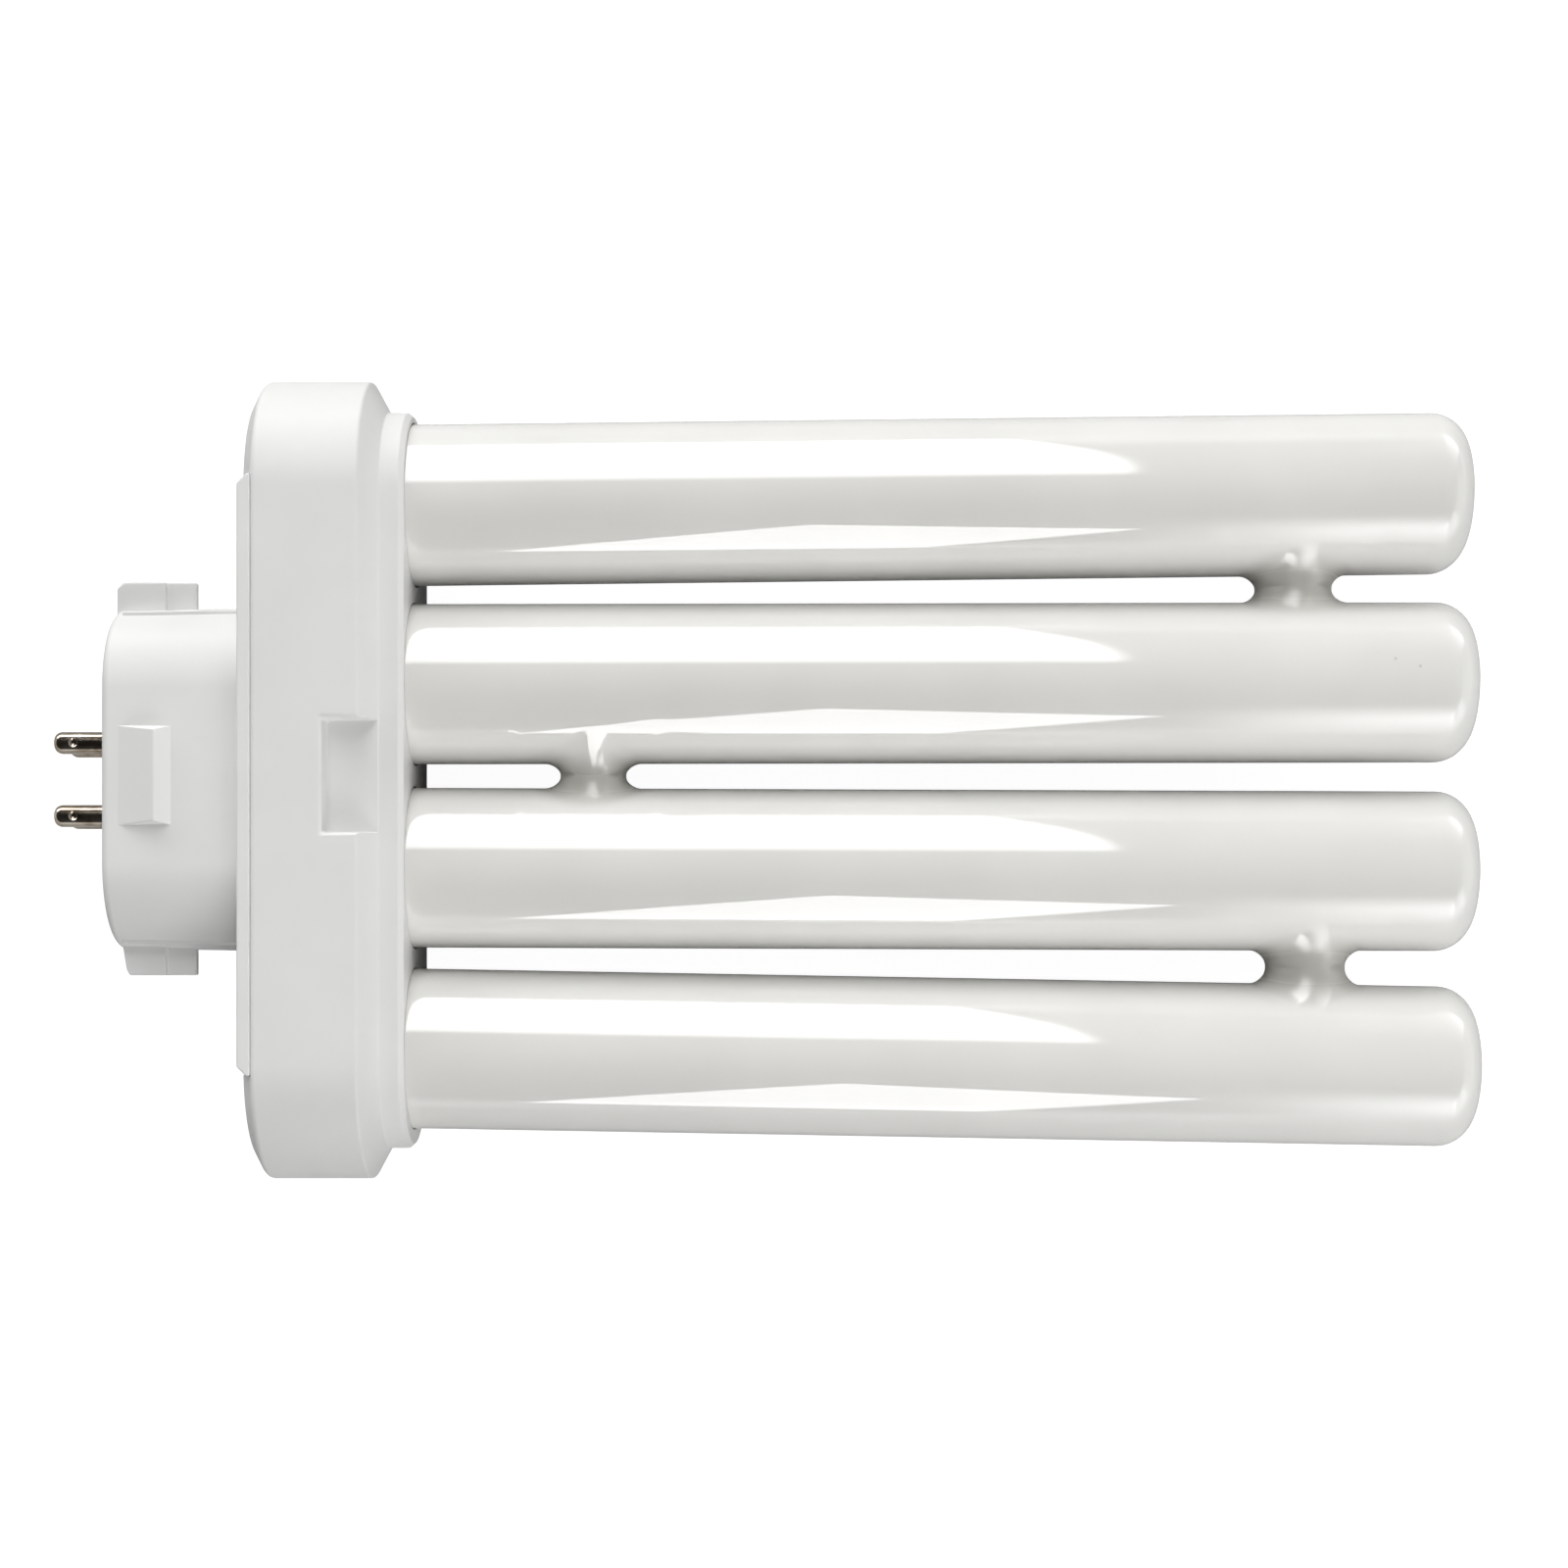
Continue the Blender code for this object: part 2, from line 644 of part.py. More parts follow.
def lead_wire(number, place, finish):
    """Bare wire from a pressed seal, along the inside of the flange and into its pin."""
    y_pin, z, _ = place
    side = 1 if y_pin > 0 else -1
    tube = 0 if side > 0 else TUBE_COUNT - 1
    x_seal = X_MOUTH - TUBE_SUNK - SEAL_LENGTH - FIT
    y_seal = tube_height(tube, x_seal)
    x_run = X_SEAT + WIRE_RUN
    x_tail = X_PLATE + FIT + PIN_COLLAR_LENGTH + PIN_TAIL
    x_end = X_PIN_FACE - PIN_REACH + PIN_END_WALL + FIT
    flange_edge = side * (PLUG_WIDTH / 2 - PLUG_WALL)
    bend, corner = side * WIRE_SEAL_BEND, side * WIRE_EDGE_BEND
    chosen = (
        (x_seal, y_seal),
        ((x_seal + x_run) / 2, y_seal - bend / 5),
        (x_run, y_seal - bend),
        (x_run, (y_seal + flange_edge) / 2),
        (x_run, flange_edge + corner),
        (x_run - WIRE_EDGE_DROP, flange_edge - corner),
        ((x_run + x_tail) / 2, y_pin + side * WIRE_SAG),
        (x_tail + WIRE_PIN_BEND, y_pin + side * WIRE_PIN_BEND / 4),
        (x_tail, y_pin),
        ((x_tail + x_end) / 2, y_pin),
        (x_end, y_pin),
    )
    points = smooth_route([Vector((x, y, z)) for x, y in chosen], WIRE_STEPS)
    curve = bpy.data.curves.new(f"lead_wire_{number}", "CURVE")
    curve.dimensions = "3D"
    curve.bevel_depth = WIRE_DIAMETER / 2
    curve.bevel_resolution = WIRE_ROUNDNESS
    curve.use_fill_caps = True
    spline = curve.splines.new("POLY")
    spline.points.add(len(points) - 1)
    for target, point in zip(spline.points, points):
        target.co = (*point, 1.0)
    curve.materials.append(finish)
    wire = bpy.data.objects.new(f"lead_wire_{number}", curve)
    bpy.context.collection.objects.link(wire)
    return wire


def build():
    clear_scene()
    lamp = bpy.data.objects.new("lamp", None)
    bpy.context.collection.objects.link(lamp)
    bores = tube_bores()
    pieces = [
        glass_vessel(material("coated glass", (0.86, 0.86, 0.84), 0.08)),
        tube_holder(material("white holder moulding", (0.84, 0.84, 0.83), 0.42), bores),
        basing_cement(material("basing cement", (0.72, 0.70, 0.66), 0.85), bores),
        base_cap(material("white base moulding", (0.82, 0.82, 0.81), 0.42)),
    ]
    pin_metal = material("plated pin", (0.80, 0.74, 0.64), 0.18, 1.0)
    wire_metal = material("bare wire", (0.66, 0.62, 0.58), 0.35, 1.0)
    for number, place in enumerate(pin_places(), 1):
        pieces.append(contact_pin(number, place, pin_metal))
        pieces.append(lead_wire(number, place, wire_metal))
    for piece in pieces:
        piece.parent = lamp


build()
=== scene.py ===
"""Looks of the compact fluorescent lamp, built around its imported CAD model.

Metres, +Z up. The lamp lies on one broad face of its holder, +X runs from the plug to the free tube ends
and +Y runs across the tubes.
"""

import json
import math
from functools import reduce

import bmesh
import bpy
from mathutils import Matrix, Vector, noise

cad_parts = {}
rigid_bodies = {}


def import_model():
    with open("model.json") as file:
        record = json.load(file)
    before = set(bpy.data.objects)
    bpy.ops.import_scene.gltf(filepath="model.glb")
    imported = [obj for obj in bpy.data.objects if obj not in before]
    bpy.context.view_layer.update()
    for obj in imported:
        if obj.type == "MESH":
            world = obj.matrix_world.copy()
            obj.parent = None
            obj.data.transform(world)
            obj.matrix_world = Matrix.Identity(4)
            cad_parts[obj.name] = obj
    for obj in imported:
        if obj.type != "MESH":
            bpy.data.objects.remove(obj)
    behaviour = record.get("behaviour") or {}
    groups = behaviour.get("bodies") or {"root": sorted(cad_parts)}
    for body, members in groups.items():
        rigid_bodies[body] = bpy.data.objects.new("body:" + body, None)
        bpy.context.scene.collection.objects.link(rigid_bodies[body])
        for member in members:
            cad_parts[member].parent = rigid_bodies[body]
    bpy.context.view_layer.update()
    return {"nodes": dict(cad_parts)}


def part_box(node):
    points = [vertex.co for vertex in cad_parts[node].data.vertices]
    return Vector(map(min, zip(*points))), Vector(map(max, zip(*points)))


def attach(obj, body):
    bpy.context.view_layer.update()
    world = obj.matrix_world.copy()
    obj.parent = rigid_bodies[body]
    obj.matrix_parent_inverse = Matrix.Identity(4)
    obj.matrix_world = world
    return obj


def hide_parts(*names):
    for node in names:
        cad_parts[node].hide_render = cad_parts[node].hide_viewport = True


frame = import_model()

MM = 0.001
FIT = 0.3 * MM

# Glass vessel
TUBE_RADIUS = 8.75 * MM
TUBE_PITCH = 19.8 * MM
TUBE_DRIFT = (0.5 * MM, 0.7 * MM, 0.4 * MM, 0.4 * MM)
TUBE_LEAN = (math.radians(0.65), math.radians(0.1), math.radians(-0.2), math.radians(-1.0))
TUBE_REACH = (115.1 * MM, 115.7 * MM, 115.7 * MM, 115.89 * MM)
TUBE_SUNK = 11.8 * MM
TUBE_CORNER = 3.8 * MM
TUBE_CROWN_ANGLE = math.radians(8)
TUBE_FOOT_CORNER = 1.6 * MM
TUBE_COUNT = len(TUBE_REACH)
BRIDGE_COUNT = TUBE_COUNT - 1
BRIDGE_PLACE = (96.2 * MM, 19.5 * MM, 97.5 * MM)
BRIDGE_WIDTH = (8.3 * MM, 7.2 * MM, 8.6 * MM)
BRIDGE_FILLET = 1.7 * MM
# On the faces, where the molten glass ran, the fillets to the upper (1) and the lower tube (-1) are broader
BRIDGE_FACE_FILLET = {1: (2.3 * MM, 2.8 * MM, 2.3 * MM), -1: (2.3 * MM, 1.9 * MM, 2.3 * MM)}
BRIDGE_RISE = (0.0, 0.5 * MM, 0.0)
BRIDGE_LEAST_WALL = 0.12 * MM
# How strongly a fillet's curve is drawn to its corner: less in the gap, which leaves it rounder there
BRIDGE_FACE_FULLNESS = (1.0, 1.1, 1.0)
BRIDGE_GAP_FULLNESS = 0.55
BRIDGE_SEAM_DEPTH = 0.3 * MM
BRIDGE_SEAM_HALF = 0.3 * MM
BRIDGE_RIPPLE = 0.07 * MM
BRIDGE_RIPPLE_SIZE = 2.2 * MM
BURNT_BARE = 0.6 * MM
BURNT_REACH = 3.4 * MM
# The middle bridge's burnt patch lies more on its lower tube
BURNT_SHIFT = (0.0, -1.6 * MM, 0.0)
SEAL_WIDTH = 9.6 * MM
SEAL_THICKNESS = 3.2 * MM
SEAL_LENGTH = 1.5 * MM
EXHAUST_RADIUS = 1.8 * MM
EXHAUST_LENGTH = 2.2 * MM

# Tube holder
HOLDER_WIDTH = 87.0 * MM
HOLDER_DEPTH = 26.0 * MM
HOLDER_WALL = 1.8 * MM
HOLDER_BACK_WALL = 1.6 * MM
HOLDER_BODY = 11.2 * MM
HOLDER_BLOCK = 9.0 * MM
RIM_CHAMFER = (1.2 * MM, 2.2 * MM)
SHOULDER_CHAMFER = (1.8 * MM, 3.3 * MM)
COLLAR_LENGTH = 2.6 * MM
COLLAR_CHAMFER = (0.55 * MM, 0.5 * MM)
NOTCH_WIDTH = 12.1 * MM
NOTCH_LENGTH = 5.5 * MM
NOTCH_DEPTH = 3.2 * MM
NOTCH_SOFT = 0.45 * MM
NOTCH_FLOOR_SOFT = 0.25 * MM
NOTCH_CORNER = 0.35 * MM

# Plug base
FLANGE_WIDTH = 63.2 * MM
FLANGE_THICKNESS = 1.4 * MM
FLANGE_PROUD = 0.3 * MM
FLANGE_CHAMFER = 1.0 * MM
FLANGE_LEDGE = 2.0 * MM
MOUTH_LEDGE = 0.4 * MM
PLUG_LENGTH = 14.6 * MM
PLUG_WIDTH = 36.8 * MM
PLUG_DEPTH = 23.2 * MM
# The faces stay flat further out than a plain half round would let them
PLUG_CORNER = 9.1 * MM
PLUG_DRAFT = 0.2 * MM
PLUG_RIM = 0.9 * MM
PLUG_WALL = 1.6 * MM
PIN_PLATE = 2.4 * MM
KEY_LENGTH = 8.6 * MM
# The lower key starts further back, its front slants and its chamfer is steeper
KEY_SETBACK = {1: 0.1 * MM, -1: 0.6 * MM}
KEY_SLANT = {1: 0.0, -1: 0.5 * MM}
KEY_CHAMFER_RUN = {1: 0.7 * MM, -1: 0.35 * MM}
KEY_STEP_AT = 5.4 * MM
KEY_STEP = 0.5 * MM
KEY_TAB = 1.1 * MM
KEY_WIDTH = 10.0 * MM
KEY_HEIGHT = 2.8 * MM
KEY_CHAMFER = 0.7 * MM
PAD_START = 1.1 * MM
PAD_INSET = 0.6 * MM
PAD_WIDTH = 13.4 * MM
LUG_START = 1.85 * MM
LUG_LENGTH = 5.7 * MM
LUG_RIDGE_AT = 4.05 * MM
LUG_WIDTH = 10.6 * MM
LUG_HEIGHT = 1.3 * MM
LUG_END_SLOPE = 0.5 * MM
TONGUE_REACH = 3.0 * MM
TONGUE_THICKNESS = 1.2 * MM
TONGUE_WIDTH = 9.0 * MM
TONGUE_GAP = 1.2 * MM

# Contact pins
PIN_RADIUS = 1.2 * MM
PIN_REACH = 7.07 * MM
PIN_SPACING = 7.92 * MM
PIN_ROWS = 6.35 * MM
PIN_TIP = 0.95 * MM
# A power below 1 makes the tip blunter than a half round
PIN_TIP_POWER = 0.6
PIN_EDGE = 0.12 * MM
PIN_COLLAR_RADIUS = 1.7 * MM
PIN_COLLAR_LENGTH = 0.8 * MM
PIN_TAIL_RADIUS = 1.0 * MM
PIN_TAIL = 2.5 * MM
PIN_END_WALL = 1.2 * MM
PIN_BORE_RADIUS = 0.6 * MM
PIN_HOLE_FLARE = 0.2 * MM
DIMPLE_FROM_TIP = 2.3 * MM
DIMPLE_RADIUS = 0.72 * MM
DIMPLE_DEPTH = 0.35 * MM

# Fine seam between the flange and its seat
SEAM = 0.04 * MM

# Edge radii of the mouldings
EDGE_SOFT = 0.4 * MM
EDGE_CRISP = 0.2 * MM

# Fineness of the meshes
TUBE_SIDES = 128
TUBE_STATIONS = 25
TUBE_STATION_PITCH = 4.8 * MM
STADIUM_SIDES = 96
PIN_SIDES = 64
# A bridge's window in its tube's grid: sides to either hand, steps along it and half its length
WINDOW_SIDES = 21
WINDOW_STEPS = 24
WINDOW_HALF = 8.6 * MM
EDGE_STEPS = 3
# Edges sharper than the first angle are rounded, and faces that meet at less than the others shade as one
EDGE_ANGLE = math.radians(20)
SMOOTH_ANGLE = math.radians(32)
PIN_SMOOTH_ANGLE = math.radians(35)
MOULDING_SMOOTH_ANGLE = math.radians(38)
GLASS_SMOOTH_ANGLE = math.radians(60)

# Places along the lamp, back from the collar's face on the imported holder
X_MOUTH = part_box("tube_holder")[1][0]
X_COLLAR = X_MOUTH - COLLAR_LENGTH
X_SHOULDER = X_COLLAR - SHOULDER_CHAMFER[0]
X_SEAT = X_SHOULDER - HOLDER_BODY
X_FLANGE = X_SEAT - FLANGE_THICKNESS
X_RIM = X_FLANGE + FLANGE_PROUD
X_PIN_FACE = X_FLANGE - PLUG_LENGTH
X_BLOCK = X_MOUTH - HOLDER_BLOCK
X_PLATE = X_PIN_FACE + PIN_PLATE
Z_MID = HOLDER_DEPTH / 2
OVERRUN = 1.0 * MM
X_PIN_TIP = X_PIN_FACE - PIN_REACH
X_PIN_COLLAR = X_PLATE + FIT
X_PIN_COLLAR_END = X_PIN_COLLAR + PIN_COLLAR_LENGTH
X_PIN_TAIL = X_PIN_COLLAR_END + PIN_TAIL

# Two grey specks under the glass near the second tube's free end
SPECKS = ((66.9 * MM, 12.6 * MM, 21.55 * MM), (69.5 * MM, 11.8 * MM, 21.7 * MM))
SPECK_RADIUS = 0.24 * MM

# Studio and camera
AMBIENT = 0.244
TABLE_HALF = 4.0
LAMP_CENTRE = Vector((1.8 * MM, 0.0, Z_MID))
CAMERA_DISTANCE = 289.0 * MM
CAMERA_BELOW = 15.1 * MM
CAMERA_LENS = 60.5
CAMERA_SENSOR = 36.0
CAMERA_NEAREST = 0.01
# The lamp's middle lies on this row of the frame, and the focal length is in rows too
FRAME_ROWS = 1600
LAMP_ROW = 797
FOCAL_ROWS = 2690.0
CAMERA_SHIFT = (FOCAL_ROWS * CAMERA_BELOW / CAMERA_DISTANCE - (FRAME_ROWS / 2 - LAMP_ROW)) / FRAME_ROWS


def clean_object(name, bm, smooth_angle=SMOOTH_ANGLE):
    """Object at the origin from a bmesh, faces outwards, sharp where faces meet at more than the angle."""
    bmesh.ops.recalc_face_normals(bm, faces=bm.faces)
    mesh = bpy.data.meshes.new(name)
    bm.to_mesh(mesh)
    bm.free()
    mesh.shade_smooth()
    mesh.set_sharp_from_angle(angle=smooth_angle)
    obj = bpy.data.objects.new(name, mesh)
    bpy.context.collection.objects.link(obj)
    return obj


def settle(obj):
    """Makes an object with modifiers a plain mesh."""
    graph = bpy.context.evaluated_depsgraph_get()
    finished = bpy.data.meshes.new_from_object(
        obj.evaluated_get(graph), preserve_all_data_layers=True, depsgraph=graph
    )
    obj.modifiers.clear()
    old = obj.data
    obj.data = finished
    finished.name = obj.name
    if old.users == 0:
        bpy.data.batch_remove([old])


def join_or_cut(target, operation, other):
    """Joins a body to the target or cuts it out, at once, and deletes the body."""
    modifier = target.modifiers.new("body", "BOOLEAN")
    modifier.operation = operation
    modifier.solver = "EXACT"
    modifier.object = other
    settle(target)
    bpy.data.objects.remove(other, do_unlink=True)


def even_out_shading(obj):
    """Keeps flat faces flat in shade beside their rounded edges."""
    obj.data.shade_smooth()
    obj.data.set_sharp_from_angle(angle=MOULDING_SMOOTH_ANGLE)
    modifier = obj.modifiers.new("flat_faces_lead", "WEIGHTED_NORMAL")
    modifier.keep_sharp = True
    modifier.weight = 80
    settle(obj)


def stitch(bm, first, second):
    """Band of quads between two rings with equally many points."""
    for i in range(len(first)):
        j = (i + 1) % len(first)
        bm.faces.new((first[i], first[j], second[j], second[i]))


def loft(bm, rings):
    """Skin through rings with equally many points, its two ends closed with one face each."""
    loops = [[bm.verts.new(point) for point in ring] for ring in rings]
    for first, second in zip(loops, loops[1:]):
        stitch(bm, first, second)
    bm.faces.new(loops[0])
    bm.faces.new(loops[-1])


def body_from_lofts(name, lofts, edge_radius=0.0):
    """Solid bodies from lofts, with every sharp edge rounded where a radius is given."""
    bm = bmesh.new()
    for rings in lofts:
        loft(bm, rings)
    bmesh.ops.recalc_face_normals(bm, faces=bm.faces)
    if edge_radius:
        sharp = [e for e in bm.edges if e.calc_face_angle(0.0) > EDGE_ANGLE]
        bmesh.ops.bevel(
            bm,
            geom=sharp,
            offset=edge_radius,
            offset_type="OFFSET",
            segments=EDGE_STEPS,
            profile=0.5,
            affect="EDGES",
            clamp_overlap=True,
        )
    return clean_object(name, bm)


def circle_ring(x, radius, sides, centre=(0.0, 0.0)):
    """Round ring square to X, its centre given as (y, z)."""
    ring = []
    for i in range(sides):
        turn = math.tau * i / sides
        ring.append(Vector((x, centre[0] + radius * math.cos(turn), centre[1] + radius * math.sin(turn))))
    return ring


def stadium_ring(x, width, depth, inset=0.0, corner=None):
    """Oblong ring, drawn in by an inset. A corner under half the depth leaves its ends flat between."""
    corner = corner or depth / 2
    radius = corner - inset
    straight = width / 2 - corner
    half = STADIUM_SIDES // 2
    ring = []
    for side in (1, -1):
        for i in range(half + 1):
            turn = -math.pi / 2 + math.pi * i / half
            # The end's two arcs lie a flat apart, one below its middle and one above it
            lift = (depth / 2 - corner) * ((i > half // 2) - (i < half // 2))
            z = side * (lift + radius * math.sin(turn))
            ring.append(Vector((x, side * (straight + radius * math.cos(turn)), Z_MID + z)))
    return ring


def box_rings(low, high):
    """Two rings that make a box from its low to its high corner."""
    corners = ((low[1], low[2]), (high[1], low[2]), (high[1], high[2]), (low[1], high[2]))
    return [[Vector((x, y, z)) for y, z in corners] for x in (low[0], high[0])]


def eased(corners, steps=5):
    """Profile through corners given as (along, inset, radius), each turned into an arc of its radius."""
    points = [Vector(corners[0][:2])]
    for before, corner, after in zip(corners, corners[1:], corners[2:]):
        here = Vector(corner[:2])
        back = (Vector(before[:2]) - here).normalized()
        ahead = (Vector(after[:2]) - here).normalized()
        half_angle = back.angle(ahead) / 2
        radius = corner[2]
        if not radius:
            points.append(here)
            continue
        run = radius / math.tan(half_angle)
        start, end = here + back * run, here + ahead * run
        for i in range(steps + 1):
            share = i / steps
            # A conic arc between the tangent points
            weight = math.sin(half_angle)
            a, b, c = (1 - share) ** 2, 2 * share * (1 - share) * weight, share**2
            points.append((start * a + here * b + end * c) / (a + b + c))
    points.append(Vector(corners[-1][:2]))
    return points


def quarter_round(radius, steps):
    """Quarter round as (run, short): how far a point has come along and is still short of full width."""
    turns = [math.radians(90) * i / steps for i in range(steps + 1)]
    return [(radius * (1 - math.cos(turn)), radius * (1 - math.sin(turn))) for turn in turns]


def set_inputs(tree, node, inputs):
    """Sets a node's inputs, given by name or number, each to a value or linked to another node's output."""
    for socket, value in inputs.items():
        if isinstance(value, bpy.types.NodeSocket):
            tree.links.new(value, node.inputs[socket])
        else:
            node.inputs[socket].default_value = value


def add_node(tree, kind, inputs=None, **settings):
    """New node of a tree with its settings and inputs."""
    node = tree.nodes.new(kind)
    for name, value in settings.items():
        setattr(node, name, value)
    set_inputs(tree, node, inputs or {})
    return node


# Glass vessel


def tube_place(index):
    """Place of a tube's axis across the lamp, where it leaves the holder."""
    middle = (TUBE_COUNT - 1) / 2
    return (middle - index) * TUBE_PITCH + TUBE_DRIFT[index]


def along_tube(index):
    """Turns a shape made along X from the origin onto a tube's axis."""
    place = Matrix.Translation((X_MOUTH, tube_place(index), Z_MID))
    return place @ Matrix.Rotation(TUBE_LEAN[index], 4, "Z")


def tube_axis_y(index, x):
    """Place of a tube's axis across the lamp at any x, with the tube's lean."""
    return tube_place(index) + math.tan(TUBE_LEAN[index]) * (x - X_MOUTH)


def foot_sections(index):
    """Rings of the hidden foot, as (along, half width, half height): a seal, a stub or a plain round."""
    foot = -TUBE_SUNK
    if index in (0, TUBE_COUNT - 1):
        wide, thin = SEAL_WIDTH / 2, SEAL_THICKNESS / 2
        sections = [
            (foot - SEAL_LENGTH, thin * 0.5, wide * 0.85),
            (foot - SEAL_LENGTH * 0.92, thin * 0.9, wide),
            (foot - SEAL_LENGTH * 0.5, thin, wide),
            (foot - SEAL_LENGTH * 0.2, thin * 1.5, wide * 0.97),
            (foot, wide, wide),
        ]
    elif index == 1:
        stub = EXHAUST_RADIUS
        sections = [
            (foot - EXHAUST_LENGTH, stub * 0.25, stub * 0.25),
            (foot - EXHAUST_LENGTH * 0.95, stub * 0.55, stub * 0.55),
            (foot - EXHAUST_LENGTH * 0.7, stub, stub),
            (foot - stub * 0.1, stub, stub),
            (foot, stub * 1.15, stub * 1.15),
        ]
    else:
        sections = [(foot, TUBE_RADIUS * 0.3, TUBE_RADIUS * 0.3)]
    return sections


def tube_sections(index, stations):
    """Every ring of a tube from its foot to its crown, as (along, half width across, half height)."""
    sections = foot_sections(index)
    for run, short in quarter_round(TUBE_FOOT_CORNER, 6):
        sections.append((run - TUBE_SUNK, TUBE_RADIUS - short, TUBE_RADIUS - short))
    corner_middle = TUBE_RADIUS - TUBE_CORNER
    crown_edge = corner_middle + TUBE_CORNER * math.sin(TUBE_CROWN_ANGLE)
    crown_radius = crown_edge / math.sin(TUBE_CROWN_ANGLE)
    crown_rise = crown_radius * (1 - math.cos(TUBE_CROWN_ANGLE))
    corner_x = TUBE_REACH[index] - crown_rise - TUBE_CORNER * math.cos(TUBE_CROWN_ANGLE)
    sections += [(x, TUBE_RADIUS, TUBE_RADIUS) for x in stations if x < corner_x - MM]
    steps = 22
    for step in range(steps + 1):
        turn = math.radians(90) + (TUBE_CROWN_ANGLE - math.radians(90)) * step / steps
        radius = corner_middle + TUBE_CORNER * math.sin(turn)
        sections.append((corner_x + TUBE_CORNER * math.cos(turn), radius, radius))
    for share in (0.8, 0.6, 0.4, 0.2):
        turn = TUBE_CROWN_ANGLE * share
        radius = crown_radius * math.sin(turn)
        sections.append((TUBE_REACH[index] - crown_radius * (1 - math.cos(turn)), radius, radius))
    return sections


def bridge_middle(bridge):
    """Middle of a bridge as (x, y), halfway between its two leaning tubes."""
    x = X_MOUTH + BRIDGE_PLACE[bridge]
    return x, (tube_axis_y(bridge, x) + tube_axis_y(bridge + 1, x)) / 2


def skin_height(bridge, side, reach, turn):
    """Height of a tube's skin above the bridge's waist, out along one angle. Side 1 is the upper tube."""
    x_middle, y_middle = bridge_middle(bridge)
    tube = bridge if side > 0 else bridge + 1
    deep = math.sqrt(TUBE_RADIUS**2 - (reach * math.sin(turn)) ** 2) / math.cos(TUBE_LEAN[tube])
    y = tube_axis_y(tube, x_middle + reach * math.cos(turn)) - side * deep
    return side * (y - y_middle)


def bridge_point(bridge, side, reach, height, turn):
    """Point at a reach and an angle out from a bridge's axis and a height above its waist."""
    x_middle, y_middle = bridge_middle(bridge)
    return Vector(
        (x_middle + reach * math.cos(turn), y_middle + side * height, Z_MID + reach * math.sin(turn))
    )


def fillet_reach(bridge, side, turn):
    """Reach of the bridge's wall and spread of its fillet, which both grow from the gap to the faces."""
    on_face = math.sin(turn) ** 2
    wall = BRIDGE_WIDTH[bridge] / 2 + BRIDGE_RISE[bridge] * on_face
    spread = BRIDGE_FILLET + (BRIDGE_FACE_FILLET[side][bridge] - BRIDGE_FILLET) * on_face
    return wall, spread


def bridge_column(bridge, side, turn, waist_turn):
    """Points from a tube's skin in to the waist at one angle: the fillet, the wall and the fused seam."""
    wall, spread = fillet_reach(bridge, side, turn)
    edge = wall + spread
    skin = skin_height(bridge, side, edge, turn)
    step = 0.01 * MM
    slope = (skin_height(bridge, side, edge + step, turn) - skin) / step
    corner = skin - slope * spread
    foot = max(BRIDGE_LEAST_WALL, corner - spread)
    on_face = math.sin(turn) ** 2
    fullness = BRIDGE_GAP_FULLNESS + (BRIDGE_FACE_FULLNESS[bridge] - BRIDGE_GAP_FULLNESS) * on_face
    found = []
    for share in (1.0, 0.93, 0.85, 0.75, 0.64, 0.52, 0.4, 0.29, 0.19, 0.1, 0.0):
        a, b, c = (1 - share) ** 2, 2 * share * (1 - share) * fullness, share**2
        height = (foot * a + corner * b + skin * c) / (a + b + c)
        found.append((wall + spread * c / (a + b + c), height))
    found += [(wall, foot * share) for share in (0.66, 0.33, 0.0)]
    points = []
    for i, (reach, height) in enumerate(found):
        share = 1 - i / (len(found) - 1)
        at = waist_turn + (turn - waist_turn) * share
        # The fused seam is deepest at the bridge's corners and runs out on its faces and sides
        pit = BRIDGE_SEAM_DEPTH * math.sin(2 * at) ** 4
        reach -= pit * math.exp(-((height / BRIDGE_SEAM_HALF) ** 2))
        point = bridge_point(bridge, side, reach, height, at)
        if i > 0:
            calm = min(1.0, 3 * (1 - share))
            ripple = noise.noise(point / BRIDGE_RIPPLE_SIZE) * BRIDGE_RIPPLE * calm
            point = bridge_point(bridge, side, reach + ripple, height, at)
        points.append(point)
    return points


def window_order(loop, bridge):
    """Points of a window in the tube's grid, in order of their angle about the bridge."""
    x_middle = bridge_middle(bridge)[0]
    # Half a turn forwards and half a turn back are the same direction and count as one
    cut = -math.pi - 0.01

    def turn_of(vert):
        return (math.atan2(vert.co.z - Z_MID, vert.co.x - x_middle) - cut) % math.tau + cut

    ordered = sorted(loop, key=turn_of)
    return ordered, [turn_of(vert) for vert in ordered]


def bridges_of(tube):
    """Bridges that grow out of a tube, each with the side of the tube it is on: 1 above and -1 below."""
    return [(bridge, side) for bridge, side in ((tube, -1), (tube - 1, 1)) if 0 <= bridge < BRIDGE_COUNT]


def window_marks(tube, bridge):
    """Even places along a tube across the window that a bridge grows out of."""
    x = bridge_middle(bridge)[0]
    middle = (along_tube(tube).inverted() @ Vector((x, tube_axis_y(tube, x), Z_MID))).x
    return [middle + WINDOW_HALF * (2 * i / WINDOW_STEPS - 1) for i in range(WINDOW_STEPS + 1)]


def nearest_section(sections, x):
    """Number of the ring that lies nearest to a place along the tube."""
    return min(range(len(sections)), key=lambda i: abs(sections[i][0] - x))


